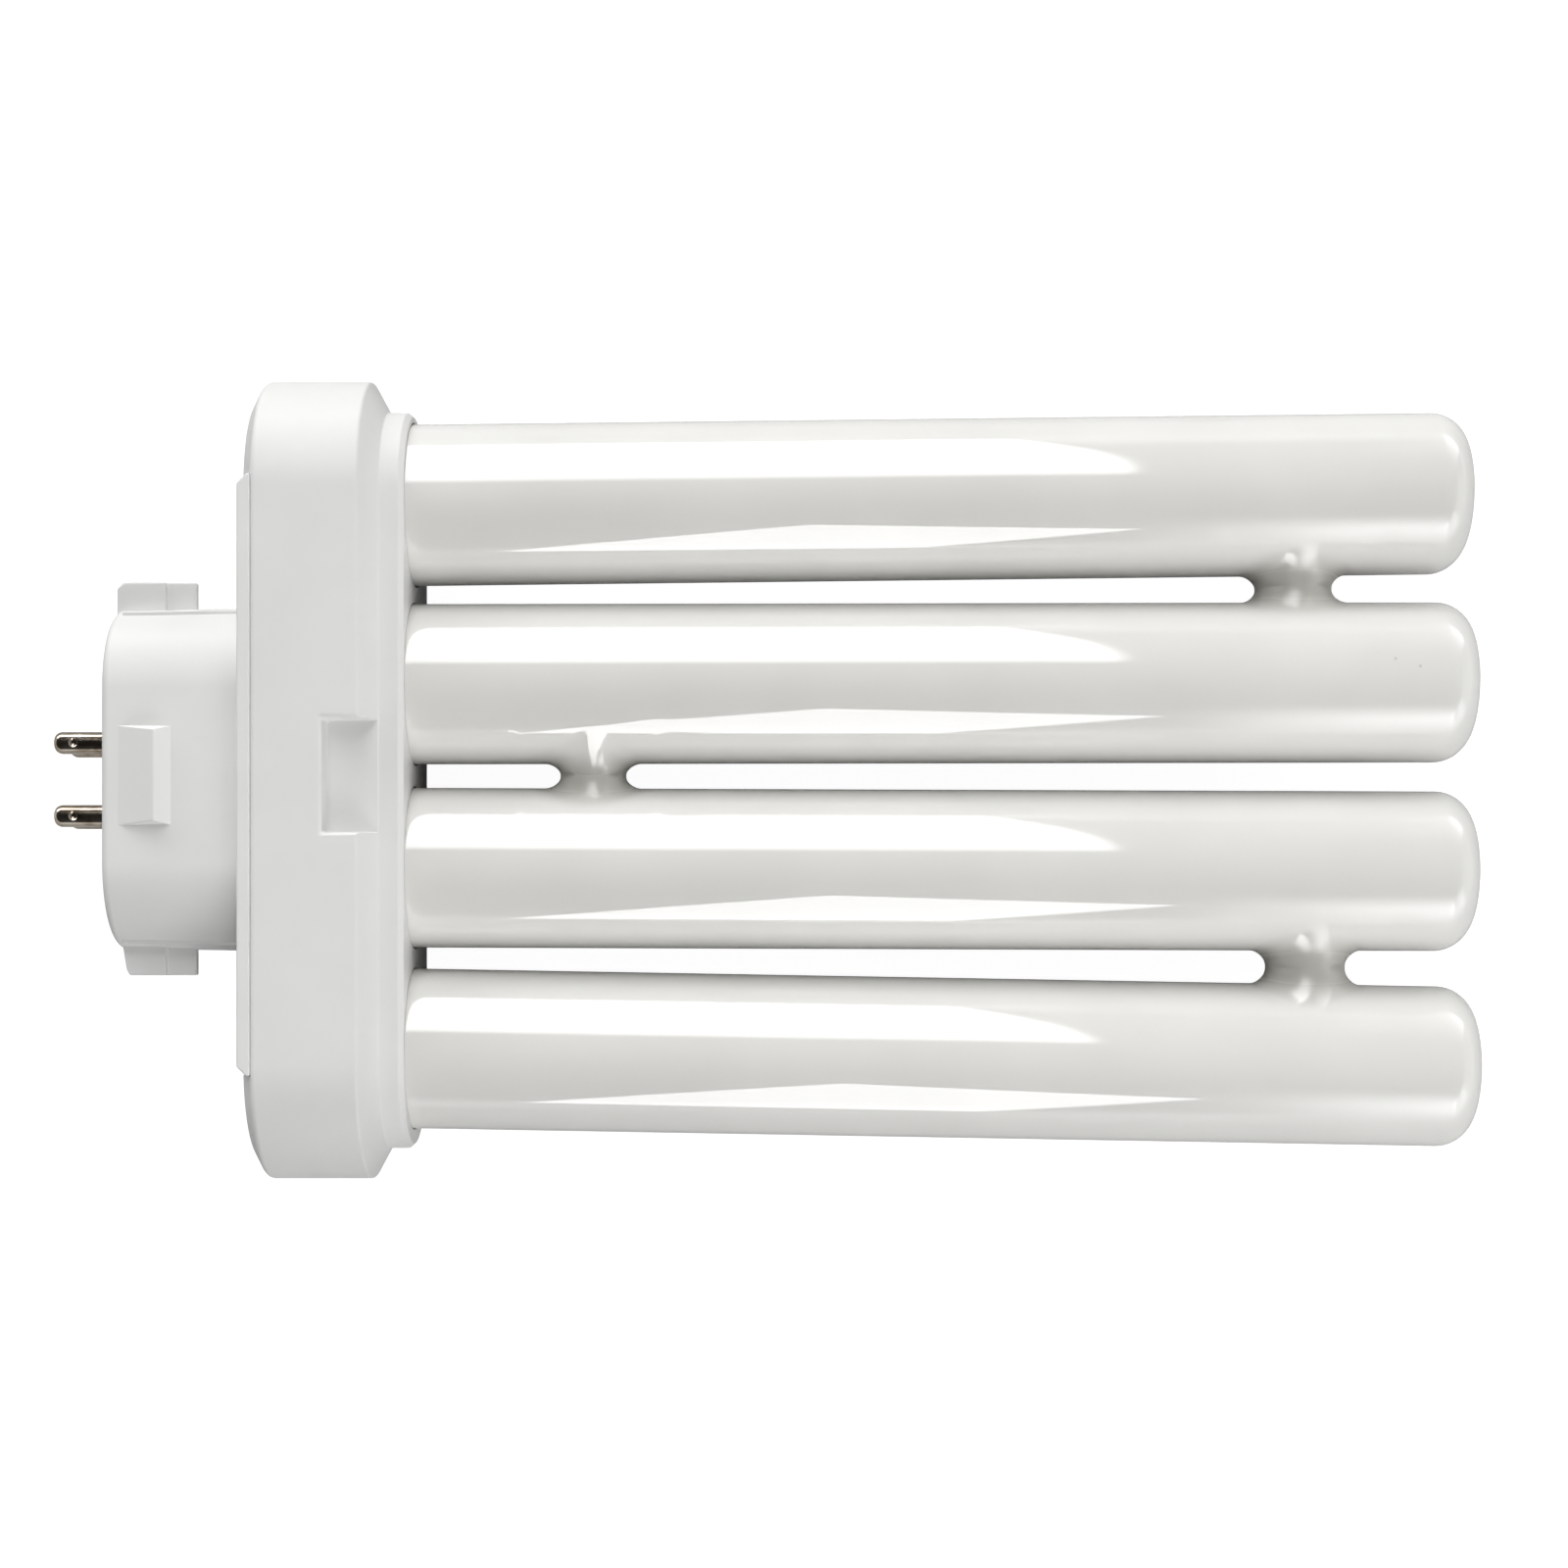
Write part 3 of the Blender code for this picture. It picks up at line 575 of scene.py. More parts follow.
def tube_skin(bm, tube):
    """Skin of a tube in a grid of quads with a pole at each end, open where its bridges grow out.

    Gives the rim of each window, in order about its bridge and with the angles of its points.
    """
    matrix = along_tube(tube)
    marks = {bridge: window_marks(tube, bridge) for bridge, _ in bridges_of(tube)}
    stations = {x for found in marks.values() for x in found}
    for i in range(1, TUBE_STATIONS + 1):
        x = -TUBE_SUNK + TUBE_FOOT_CORNER + i * TUBE_STATION_PITCH
        if all(x < found[0] - MM or x > found[-1] + MM for found in marks.values()):
            stations.add(x)
    sections = tube_sections(tube, sorted(stations))
    turns = [math.tau * k / TUBE_SIDES for k in range(TUBE_SIDES)]
    rings = []
    for along, across, high in sections:
        ring = [Vector((along, across * math.cos(t), high * math.sin(t))) for t in turns]
        rings.append([bm.verts.new(matrix @ point) for point in ring])
    holes = []
    rims = {}
    for bridge, side in bridges_of(tube):
        first = nearest_section(sections, marks[bridge][0])
        last = nearest_section(sections, marks[bridge][-1])
        centre = 0 if side > 0 else TUBE_SIDES // 2
        lines = [(centre + j) % TUBE_SIDES for j in range(-WINDOW_SIDES, WINDOW_SIDES + 1)]
        holes.append((first, last, set(lines[:-1])))
        rim = [rings[r][k] for r in (first, last) for k in lines]
        rim += [rings[r][k] for r in range(first + 1, last) for k in (lines[0], lines[-1])]
        rims[bridge, -side] = window_order(rim, bridge)
    for r in range(len(rings) - 1):
        for k in range(TUBE_SIDES):
            if any(first <= r < last and k in lines for first, last, lines in holes):
                continue
            n = (k + 1) % TUBE_SIDES
            bm.faces.new((rings[r][k], rings[r][n], rings[r + 1][n], rings[r + 1][k]))
    for ring, along in ((rings[0], sections[0][0]), (rings[-1], TUBE_REACH[tube])):
        pole = bm.verts.new(matrix @ Vector((along, 0.0, 0.0)))
        for k in range(TUBE_SIDES):
            bm.faces.new((ring[k], ring[(k + 1) % TUBE_SIDES], pole))
    return rims


def bridge_skin(bm, bridge, rims):
    """Skin of a bridge from the windows in its two tubes to the waist that both halves share."""
    x_middle = bridge_middle(bridge)[0]
    upper, lower = rims[bridge, 1], rims[bridge, -1]
    waist_turns = [(a + b) / 2 for a, b in zip(upper[1], lower[1])]
    waist = None
    for side, (rim, turns) in ((1, upper), (-1, lower)):
        columns = []
        for vert, turn, waist_turn in zip(rim, turns, waist_turns):
            edge = sum(fillet_reach(bridge, side, turn))
            out = math.hypot(vert.co.x - x_middle, vert.co.z - Z_MID)
            column = []
            for share in (0.75, 0.52, 0.33, 0.18, 0.08):
                reach = edge + (out - edge) * share
                height = skin_height(bridge, side, reach, turn)
                column.append(bridge_point(bridge, side, reach, height, turn))
            columns.append(column + bridge_column(bridge, side, turn, waist_turn))
        levels = list(zip(*columns))
        rings = [rim] + [[bm.verts.new(point) for point in level] for level in levels[:-1]]
        waist = waist or [bm.verts.new(point) for point in levels[-1]]
        for first, second in zip(rings, rings[1:] + [waist]):
            stitch(bm, first, second)


def mark_burnt_powder(bm):
    """The flame that fused a bridge burnt its powder off: 0 at the bridge, 1 where the coating is whole."""
    coating = bm.verts.layers.float.new("coating")
    for vert in bm.verts:
        vert[coating] = 1.0
        for bridge in range(BRIDGE_COUNT):
            x_middle, y_middle = bridge_middle(bridge)
            out = math.hypot(vert.co.x - x_middle, vert.co.z - Z_MID) - BRIDGE_WIDTH[bridge] / 2
            away = max(0.0, out) + abs(vert.co.y - y_middle - BURNT_SHIFT[bridge]) / 2
            share = min(1.0, max(0.0, (away - BURNT_BARE) / BURNT_REACH))
            vert[coating] = min(vert[coating], share * share * (3 - 2 * share))


def glass_vessel():
    """Four tubes and three bridges as one skin."""
    bm = bmesh.new()
    rims = {}
    for tube in range(TUBE_COUNT):
        rims.update(tube_skin(bm, tube))
    for bridge in range(BRIDGE_COUNT):
        bridge_skin(bm, bridge, rims)
    spare = [vert for vert in bm.verts if not vert.link_faces]
    bmesh.ops.delete(bm, geom=spare, context="VERTS")
    mark_burnt_powder(bm)
    return clean_object("fused_glass_vessel", bm, GLASS_SMOOTH_ANGLE)


# Holder and plug base


def notch_cutter(face):
    """Body of a clip notch with soft edges: it flares at the broad face and is rounded at its floor."""
    levels = [(-OVERRUN, NOTCH_SOFT)]
    levels += quarter_round(NOTCH_SOFT, 5)
    levels += [(NOTCH_DEPTH - short, -run) for run, short in quarter_round(NOTCH_FLOOR_SOFT, 4)]
    corner = quarter_round(NOTCH_CORNER, 5)
    high_x = X_COLLAR + OVERRUN / 2
    rings = []
    for depth, grow in levels:
        low_x = X_COLLAR - NOTCH_LENGTH - grow
        half = NOTCH_WIDTH / 2 + grow
        outline = [(high_x, half)]
        outline += [(low_x + short, half - run) for run, short in corner]
        outline += [(low_x + run, short - half) for run, short in corner]
        outline.append((high_x, -half))
        z = Z_MID + face * (HOLDER_DEPTH / 2 - depth)
        rings.append([Vector((x, y, z)) for x, y in outline])
    return body_from_lofts("notch_cutter", [rings])


def flange_seat_rings():
    """Seat for the flange, right through the holder, with its edges rounded off on both broad faces."""
    half_seat = FLANGE_WIDTH / 2 + SEAM / 2
    rings = []
    for z, flare in (
        (-OVERRUN, EDGE_CRISP),
        (0.0, EDGE_CRISP),
        (EDGE_CRISP * 0.3, EDGE_CRISP * 0.3),
        (EDGE_CRISP, 0.0),
        (HOLDER_DEPTH - EDGE_CRISP, 0.0),
        (HOLDER_DEPTH - EDGE_CRISP * 0.3, EDGE_CRISP * 0.3),
        (HOLDER_DEPTH, EDGE_CRISP),
        (HOLDER_DEPTH + OVERRUN, EDGE_CRISP),
    ):
        end, half = X_SEAT + SEAM + flare, half_seat + flare
        corners = ((X_RIM - OVERRUN, -half), (end, -half), (end, half), (X_RIM - OVERRUN, half))
        rings.append([Vector((x, y, z)) for x, y in corners])
    return rings


def tube_bore_rings(tube):
    """Bore for a tube through the socket block, with a little air round the glass."""
    matrix = along_tube(tube)
    radius = TUBE_RADIUS + FIT * 0.6
    start = X_BLOCK - X_MOUTH - OVERRUN
    return [[matrix @ point for point in circle_ring(x, radius, TUBE_SIDES)] for x in (start, OVERRUN)]


def tube_holder():
    """Oblong holder: a socket block with a chamfered collar, hollow and open towards the plug."""
    drop, rise = RIM_CHAMFER[1], SHOULDER_CHAMFER[1]
    lip = rise + COLLAR_CHAMFER[1]
    profile = eased(
        (
            (X_RIM, drop + EDGE_SOFT, 0.0),
            (X_RIM, drop, EDGE_CRISP),
            (X_RIM + RIM_CHAMFER[0], 0.0, EDGE_SOFT * 2),
            (X_SHOULDER, 0.0, EDGE_SOFT),
            (X_COLLAR, rise, EDGE_CRISP),
            (X_MOUTH - COLLAR_CHAMFER[0], rise, EDGE_CRISP),
            (X_MOUTH, lip, 0.08 * MM),
            (X_MOUTH, lip + 0.1 * MM, 0.0),
        )
    )
    skin = [stadium_ring(x, HOLDER_WIDTH, HOLDER_DEPTH, inset) for x, inset in profile]
    holder = body_from_lofts("holder_moulding", [skin])
    hollow = [
        stadium_ring(x, HOLDER_WIDTH, HOLDER_DEPTH, HOLDER_WALL) for x in (X_RIM + HOLDER_BACK_WALL, X_BLOCK)
    ]
    half_mouth = FLANGE_WIDTH / 2 - FLANGE_LEDGE
    mouth_depth = HOLDER_DEPTH / 2 - HOLDER_WALL - MOUTH_LEDGE
    mouth = box_rings(
        (X_RIM - OVERRUN, -half_mouth, Z_MID - mouth_depth),
        (X_RIM + HOLDER_BACK_WALL + OVERRUN, half_mouth, Z_MID + mouth_depth),
    )
    for name, lofts in (
        ("holder_hollow", [hollow]),
        ("holder_mouth", [mouth]),
        ("flange_seat", [flange_seat_rings()]),
        ("tube_bores", [tube_bore_rings(tube) for tube in range(TUBE_COUNT)]),
    ):
        join_or_cut(holder, "DIFFERENCE", body_from_lofts(name, lofts))
    for face in (1, -1):
        join_or_cut(holder, "DIFFERENCE", notch_cutter(face))
    even_out_shading(holder)
    return holder


def key_rings(side):
    """End key of the plug: a chamfered block with a step at its back and a small tab on it."""
    start = X_PIN_FACE + KEY_SETBACK[side]
    slant = KEY_SLANT[side]
    step = X_PIN_FACE + KEY_STEP_AT
    end = X_PIN_FACE + KEY_LENGTH
    root = PLUG_WIDTH / 2 - OVERRUN
    top = PLUG_WIDTH / 2 + KEY_HEIGHT
    half = KEY_WIDTH / 2
    tab_top = half - KEY_STEP
    tab_bottom = tab_top - KEY_TAB
    rings = []
    for y, cut in ((root, 0.0), (top - KEY_CHAMFER, slant), (top, slant + KEY_CHAMFER_RUN[side])):
        outline = (
            (start + cut, -half),
            (step, -half),
            (step, tab_bottom),
            (end, tab_bottom),
            (end, tab_top),
            (step, tab_top),
            (step, half),
            (start + cut, half),
        )
        rings.append([Vector((x, side * y, Z_MID + z)) for x, z in outline])
    return rings


def pad_rings(side):
    """Flat pad on the plug's end, which the key stands on."""
    start = X_PIN_FACE + PAD_START
    end = X_FLANGE + FLANGE_THICKNESS / 2
    top = PLUG_WIDTH / 2 - PAD_INSET
    root = (PLUG_WIDTH - PLUG_DEPTH) / 2
    half = PAD_WIDTH / 2
    rings = []
    for x, drafted in ((start, top), (end, top + PLUG_DRAFT)):
        outline = ((root, -half), (drafted, -half), (drafted, half), (root, half))
        rings.append([Vector((x, side * y, Z_MID + z)) for y, z in outline])
    return rings


def lug_rings(side):
    """Wedge lug on a broad face of the plug: it rises to a ridge and drops again."""
    start = X_PIN_FACE + LUG_START
    root = PLUG_DEPTH / 2 - OVERRUN
    top = PLUG_DEPTH / 2
    outline = (
        (start, root, 0.0),
        (start, top, 0.0),
        (start + LUG_RIDGE_AT, top + LUG_HEIGHT, LUG_END_SLOPE),
        (start + LUG_LENGTH, top, 0.0),
        (start + LUG_LENGTH, root, 0.0),
    )
    return [
        [Vector((x, end * (LUG_WIDTH / 2 - slope), Z_MID + side * z)) for x, z, slope in outline]
        for end in (-1, 1)
    ]


def tongue_rings(side, face):
    """Locating tongue behind the flange, at one end and one broad face."""
    outer = HOLDER_DEPTH / 2 - HOLDER_WALL - MOUTH_LEDGE - FIT
    near = PLUG_WIDTH / 2 + TONGUE_GAP
    ys = sorted((side * near, side * (near + TONGUE_WIDTH)))
    zs = sorted((Z_MID + face * (outer - TONGUE_THICKNESS), Z_MID + face * outer))
    return box_rings((X_SEAT - FLANGE_THICKNESS / 2, ys[0], zs[0]), (X_SEAT + TONGUE_REACH, ys[1], zs[1]))


def flange_rings():
    """Flange that closes the holder, as deep as the holder and chamfered at its ends."""
    half = FLANGE_WIDTH / 2
    outline = (
        (X_SEAT, -half),
        (X_SEAT, half),
        (X_FLANGE + FLANGE_CHAMFER, half),
        (X_FLANGE, half - FLANGE_CHAMFER),
        (X_FLANGE, -half + FLANGE_CHAMFER),
        (X_FLANGE + FLANGE_CHAMFER, -half),
    )
    return [[Vector((x, y, z)) for x, y in outline] for z in (0.0, HOLDER_DEPTH)]


def pin_places():
    """Axes of the four pins as (across, height), with the direction each pin's dimple faces."""
    return [
        (side * PIN_SPACING / 2, Z_MID + row * PIN_ROWS / 2, row) for side in (1, -1) for row in (1, -1)
    ]


def pin_hole_rings(y, z):
    """Hole for a pin, flared where it opens on the plug's face."""
    hole = PIN_RADIUS + FIT / 3
    steps = (
        (X_PIN_FACE - OVERRUN, hole + PIN_HOLE_FLARE),
        (X_PIN_FACE - 0.001 * MM, hole + PIN_HOLE_FLARE),
        (X_PIN_FACE + PIN_HOLE_FLARE, hole),
        (X_PLATE + OVERRUN, hole),
    )
    return [circle_ring(x, radius, PIN_SIDES, (y, z)) for x, radius in steps]


def base_cap():
    """Plug base in one moulding: flange, hollow oblong plug, end keys, face lugs and locating tongues."""
    profile = eased(
        (
            (X_PIN_FACE, PLUG_RIM * 1.6, 0.0),
            (X_PIN_FACE, 0.0, PLUG_RIM),
            (X_PIN_FACE + 3 * PLUG_RIM, 0.0, 0.0),
            (X_FLANGE + FLANGE_THICKNESS / 2, -PLUG_DRAFT, 0.0),
        ),
        steps=8,
    )
    skin = [stadium_ring(x, PLUG_WIDTH, PLUG_DEPTH, inset, PLUG_CORNER) for x, inset in profile]
    cap = body_from_lofts("base_moulding", [skin])
    fittings = (
        ("flange", [flange_rings()], EDGE_CRISP * 1.2),
        ("pads", [pad_rings(side) for side in (1, -1)], EDGE_CRISP * 0.6),
        ("keys", [key_rings(side) for side in (1, -1)], EDGE_CRISP),
        ("lugs", [lug_rings(side) for side in (1, -1)], EDGE_CRISP * 0.7),
        ("tongues", [tongue_rings(side, face) for side in (1, -1) for face in (1, -1)], EDGE_CRISP),
    )
    for name, lofts, radius in fittings:
        join_or_cut(cap, "UNION", body_from_lofts(name, lofts, radius))
    hollow = [
        stadium_ring(x, PLUG_WIDTH, PLUG_DEPTH, PLUG_WALL, PLUG_CORNER) for x in (X_PLATE, X_SEAT + OVERRUN)
    ]
    join_or_cut(cap, "DIFFERENCE", body_from_lofts("plug_hollow", [hollow]))
    holes = [pin_hole_rings(y, z) for y, z, _ in pin_places()]
    join_or_cut(cap, "DIFFERENCE", body_from_lofts("pin_holes", holes))
    even_out_shading(cap)
    return cap


# Contact pins


def pin_line(place):
    """Turning profile of a pin as a line of points, each with the pin's radius there."""
    y, z, _ = place
    first, steps = 6, 12
    profile = []
    for i in range(steps + 1):
        turn = math.radians(first + (90 - first) * i / steps)
        radius = PIN_RADIUS * math.sin(turn) ** PIN_TIP_POWER
        profile.append((X_PIN_TIP + PIN_TIP * (1 - math.cos(turn)), radius))
    profile += [
        (X_PIN_COLLAR - PIN_EDGE, PIN_RADIUS),
        (X_PIN_COLLAR, PIN_RADIUS + PIN_EDGE),
        (X_PIN_COLLAR + 0.01 * MM, PIN_COLLAR_RADIUS - PIN_EDGE),
        (X_PIN_COLLAR + PIN_EDGE, PIN_COLLAR_RADIUS),
        (X_PIN_COLLAR_END - PIN_EDGE, PIN_COLLAR_RADIUS),
        (X_PIN_COLLAR_END, PIN_COLLAR_RADIUS - PIN_EDGE),
        (X_PIN_COLLAR_END + 0.01 * MM, PIN_TAIL_RADIUS),
        (X_PIN_TAIL - PIN_EDGE, PIN_TAIL_RADIUS),
        (X_PIN_TAIL, PIN_TAIL_RADIUS - PIN_EDGE / 2),
    ]
    mesh = bpy.data.meshes.new("pin_line")
    edges = [(i, i + 1) for i in range(len(profile) - 1)]
    mesh.from_pydata([(x, y, z) for x, _ in profile], edges, [])
    radii = mesh.attributes.new("turned_radius", "FLOAT", "POINT")
    for i, (_, radius) in enumerate(profile):
        radii.data[i].value = radius
    return mesh


def turned_pin_tree():
    """Turns a pin from its profile line, punches the crimp dimple and bores it for its wire."""
    tree = bpy.data.node_groups.new("turned_pin", "GeometryNodeTree")
    sockets = {}
    for name, kind, default in (
        ("Profile", "NodeSocketGeometry", None),
        ("Sides", "NodeSocketInt", PIN_SIDES),
        ("Dimple place", "NodeSocketVector", (0.0, 0.0, 0.0)),
        ("Dimple radius", "NodeSocketFloat", DIMPLE_RADIUS),
        ("Bore place", "NodeSocketVector", (0.0, 0.0, 0.0)),
        ("Bore radius", "NodeSocketFloat", PIN_BORE_RADIUS),
        ("Bore length", "NodeSocketFloat", PIN_REACH),
        ("Finish", "NodeSocketMaterial", None),
    ):
        socket = tree.interface.new_socket(name, in_out="INPUT", socket_type=kind)
        if default is not None:
            socket.default_value = default
        sockets[name] = socket.identifier
    tree.interface.new_socket("Pin", in_out="OUTPUT", socket_type="NodeSocketGeometry")
    given = add_node(tree, "NodeGroupInput").outputs
    curve = add_node(tree, "GeometryNodeMeshToCurve", {"Mesh": given["Profile"]})
    radius = add_node(tree, "GeometryNodeInputNamedAttribute", {"Name": "turned_radius"}, data_type="FLOAT")
    circle = add_node(
        tree, "GeometryNodeCurvePrimitiveCircle", {"Resolution": given["Sides"], "Radius": 1.0}
    )
    turned = add_node(
        tree,
        "GeometryNodeCurveToMesh",
        {
            "Curve": curve.outputs["Curve"],
            "Profile Curve": circle.outputs["Curve"],
            "Scale": radius.outputs["Attribute"],
            "Fill Caps": True,
        },
    )
    ball = add_node(
        tree, "GeometryNodeMeshUVSphere", {"Segments": 40, "Rings": 20, "Radius": given["Dimple radius"]}
    )
    punch = add_node(
        tree,
        "GeometryNodeTransform",
        {"Geometry": ball.outputs["Mesh"], "Translation": given["Dimple place"]},
    )
    rod = add_node(
        tree,
        "GeometryNodeMeshCylinder",
        {"Vertices": 24, "Radius": given["Bore radius"], "Depth": given["Bore length"]},
    )
    drill = add_node(
        tree,
        "GeometryNodeTransform",
        {
            "Geometry": rod.outputs["Mesh"],
            "Translation": given["Bore place"],
            "Rotation": (0.0, math.radians(90), 0.0),
        },
    )
    cut = add_node(
        tree,
        "GeometryNodeMeshBoolean",
        {"Mesh 1": turned.outputs["Mesh"], "Mesh 2": punch.outputs["Geometry"]},
        operation="DIFFERENCE",
        solver="EXACT",
    )
    tree.links.new(drill.outputs["Geometry"], cut.inputs["Mesh 2"])
    real = add_node(tree, "GeometryNodeRealizeInstances", {"Geometry": cut.outputs["Mesh"]})
    finish = add_node(
        tree,
        "GeometryNodeSetMaterial",
        {"Geometry": real.outputs["Geometry"], "Material": given["Finish"]},
    )
    add_node(tree, "NodeGroupOutput", {"Pin": finish.outputs["Geometry"]})
    return tree, sockets


def contact_pin(number, place, tree, sockets, metal):
    """One pin at its place: its profile line, turned and cut by the tree and settled as a plain mesh."""
    y, z, facing = place
    pin = bpy.data.objects.new(f"plated_pin_{number}", pin_line(place))
    bpy.context.collection.objects.link(pin)
    modifier = pin.modifiers.new("turned_pin", "NODES")
    modifier.node_group = tree
    dimple_z = z + facing * (PIN_RADIUS - DIMPLE_DEPTH + DIMPLE_RADIUS)
    bore_start = X_PIN_TIP + PIN_END_WALL
    bore_end = X_PIN_TAIL + OVERRUN
    values = {
        "Dimple place": (X_PIN_TIP + DIMPLE_FROM_TIP, y, dimple_z),
        "Bore place": ((bore_start + bore_end) / 2, y, z),
        "Bore length": bore_end - bore_start,
        "Finish": metal,
    }
    for name, value in values.items():
        modifier[sockets[name]] = value
    settle(pin)
    pin.data.shade_smooth()
    pin.data.set_sharp_from_angle(angle=PIN_SMOOTH_ANGLE)
    return pin


# Materials


def new_material(name):
    """New material, with its node tree and its shader."""
    made = bpy.data.materials.new(name)
    made.use_nodes = True
    return made, made.node_tree, made.node_tree.nodes["Principled BSDF"]


def grain_map(tree, scale, detail, roughness=0.55):
    """Noise fixed to the piece, scale in grains per metre."""
    place = add_node(tree, "ShaderNodeTexCoord").outputs["Object"]
    settings = {"Vector": place, "Scale": scale, "Detail": detail, "Roughness": roughness}
    return add_node(tree, "ShaderNodeTexNoise", settings).outputs["Fac"]


def ramp(tree, source, stops):
    """Colour ramp over a source, its stops given as (position, colour)."""
    made = add_node(tree, "ShaderNodeValToRGB", {"Fac": source})
    elements = made.color_ramp.elements
    while len(elements) < len(stops):
        elements.new(0.5)
    for element, (position, colour) in zip(elements, stops):
        element.position = position
        element.color = (*colour, 1.0)
    return made.outputs["Color"]


def arithmetic(tree, operation, *operands):
    """Result of a Math node on numbers or outputs of other nodes."""
    inputs = dict(enumerate(operands))
    return add_node(tree, "ShaderNodeMath", inputs, operation=operation).outputs[0]


def mixed(tree, factor, first, second):
    """The first colour where the factor is 0 and the second where it is 1: colours or outputs of nodes."""
    mix = add_node(tree, "ShaderNodeMix", {"Factor": factor}, data_type="RGBA")
    colours = [i for i, socket in enumerate(mix.inputs) if socket.type == "RGBA"]
    set_inputs(tree, mix, dict(zip(colours, (first, second))))
    return next(socket for socket in mix.outputs if socket.type == "RGBA")


def fade(tree, source, start, end):
    """1 up to the start of a range and 0 past its end, in a soft curve. The range may run backwards."""
    backwards = end < start
    settings = {
        "Value": source,
        "From Min": min(start, end),
        "From Max": max(start, end),
        "To Min": 0.0 if backwards else 1.0,
        "To Max": 1.0 if backwards else 0.0,
    }
    made = add_node(tree, "ShaderNodeMapRange", settings, interpolation_type="SMOOTHSTEP")
    return made.outputs["Result"]


def relief(tree, shader, source, height, strength):
    """Relief that is too fine for the mesh."""
    bump = add_node(tree, "ShaderNodeBump", {"Height": source, "Distance": height, "Strength": strength})
    set_inputs(tree, shader, {"Normal": bump.outputs["Normal"]})


def specks(tree, places, radius):
    """1 in a soft round spot at each place and 0 elsewhere."""
    here = add_node(tree, "ShaderNodeTexCoord").outputs["Object"]
    spots = []
    for place in places:
        away = add_node(tree, "ShaderNodeVectorMath", {0: here, 1: place}, operation="DISTANCE")
        spots.append(fade(tree, away.outputs["Value"], radius * 0.4, radius))
    return reduce(lambda first, second: arithmetic(tree, "MAXIMUM", first, second), spots)


def coated_glass():
    """Clear glass over a white powder coating: matt white below, a sharp glossy coat above."""
    made, tree, shader = new_material("coated_glass")
    cloud = grain_map(tree, scale=60.0, detail=2.0)
    powder = ramp(tree, cloud, ((0.3, (0.80, 0.795, 0.77)), (0.7, (0.84, 0.835, 0.81))))
    # Greyish and less glossy where the powder is burnt off
    coating = add_node(tree, "ShaderNodeAttribute", attribute_name="coating").outputs["Fac"]
    tone = mixed(tree, coating, (0.55, 0.54, 0.50, 1.0), powder)
    gloss = add_node(tree, "ShaderNodeMapRange", {"Value": coating, "To Min": 0.3, "To Max": 0.035})
    dirt = specks(tree, SPECKS, SPECK_RADIUS)
    look = {
        "Base Color": mixed(tree, dirt, tone, (0.66, 0.65, 0.64, 1.0)),
        "Roughness": gloss.outputs["Result"],
        "IOR": 1.8,
    }
    set_inputs(tree, shader, look)
    return made


def white_moulding(name, light, dark):
    """Satin white plastic with a fine moulded grain and faint flow marks."""
    made, tree, shader = new_material(name)
    flow = grain_map(tree, scale=90.0, detail=3.0)
    tone = ramp(tree, flow, ((0.3, dark), (0.7, light)))
    set_inputs(tree, shader, {"Base Color": tone, "Roughness": 0.42, "Specular IOR Level": 0.4})
    grain = grain_map(tree, scale=2600.0, detail=2.0)
    relief(tree, shader, grain, height=0.01 * MM, strength=0.5)
    return made


def poured_cement():
    """Matt crumbly cement with grains of many sizes."""
    made, tree, shader = new_material("basing_cement")
    grain = grain_map(tree, scale=1400.0, detail=6.0, roughness=0.7)
    tone = ramp(tree, grain, ((0.3, (0.60, 0.57, 0.52)), (0.7, (0.76, 0.74, 0.70))))
    set_inputs(tree, shader, {"Base Color": tone, "Roughness": 0.9})
    relief(tree, shader, grain, height=0.1 * MM, strength=0.8)
    return made


def plated_metal(name, light, dark, roughness):
    """Plated metal with fine turning marks and a patchy tarnish."""
    made, tree, shader = new_material(name)
    patches = grain_map(tree, scale=900.0, detail=4.0)
    tone = ramp(tree, patches, ((0.35, dark), (0.65, light)))
    set_inputs(tree, shader, {"Base Color": tone, "Metallic": 1.0, "Roughness": roughness})
    place = add_node(tree, "ShaderNodeTexCoord").outputs["Object"]
    turning = {"Vector": place, "Scale": 2500.0, "Distortion": 1.5}
    marks = add_node(tree, "ShaderNodeTexWave", turning, bands_direction="X")
    relief(tree, shader, marks.outputs["Fac"], height=0.002 * MM, strength=0.4)
    return made


# Studio


def seen_by_camera(tree):
    return add_node(tree, "ShaderNodeLightPath").outputs["Is Camera Ray"]


def seen_white(tree):
    """1 for the rays that see the background directly, in a mirror or through glass."""
    path = add_node(tree, "ShaderNodeLightPath").outputs
    kinds = [path[name] for name in ("Is Camera Ray", "Is Glossy Ray", "Is Transmission Ray")]
    return reduce(lambda first, second: arithmetic(tree, "MAXIMUM", first, second), kinds)


def matt(tree, tone):
    """Matt grey of one tone."""
    return add_node(tree, "ShaderNodeBsdfDiffuse", {"Color": (tone, tone, tone, 1.0)}).outputs[0]


def mixed_shader(tree, factor, first, second):
    return add_node(tree, "ShaderNodeMixShader", {0: factor, 1: first, 2: second}).outputs[0]


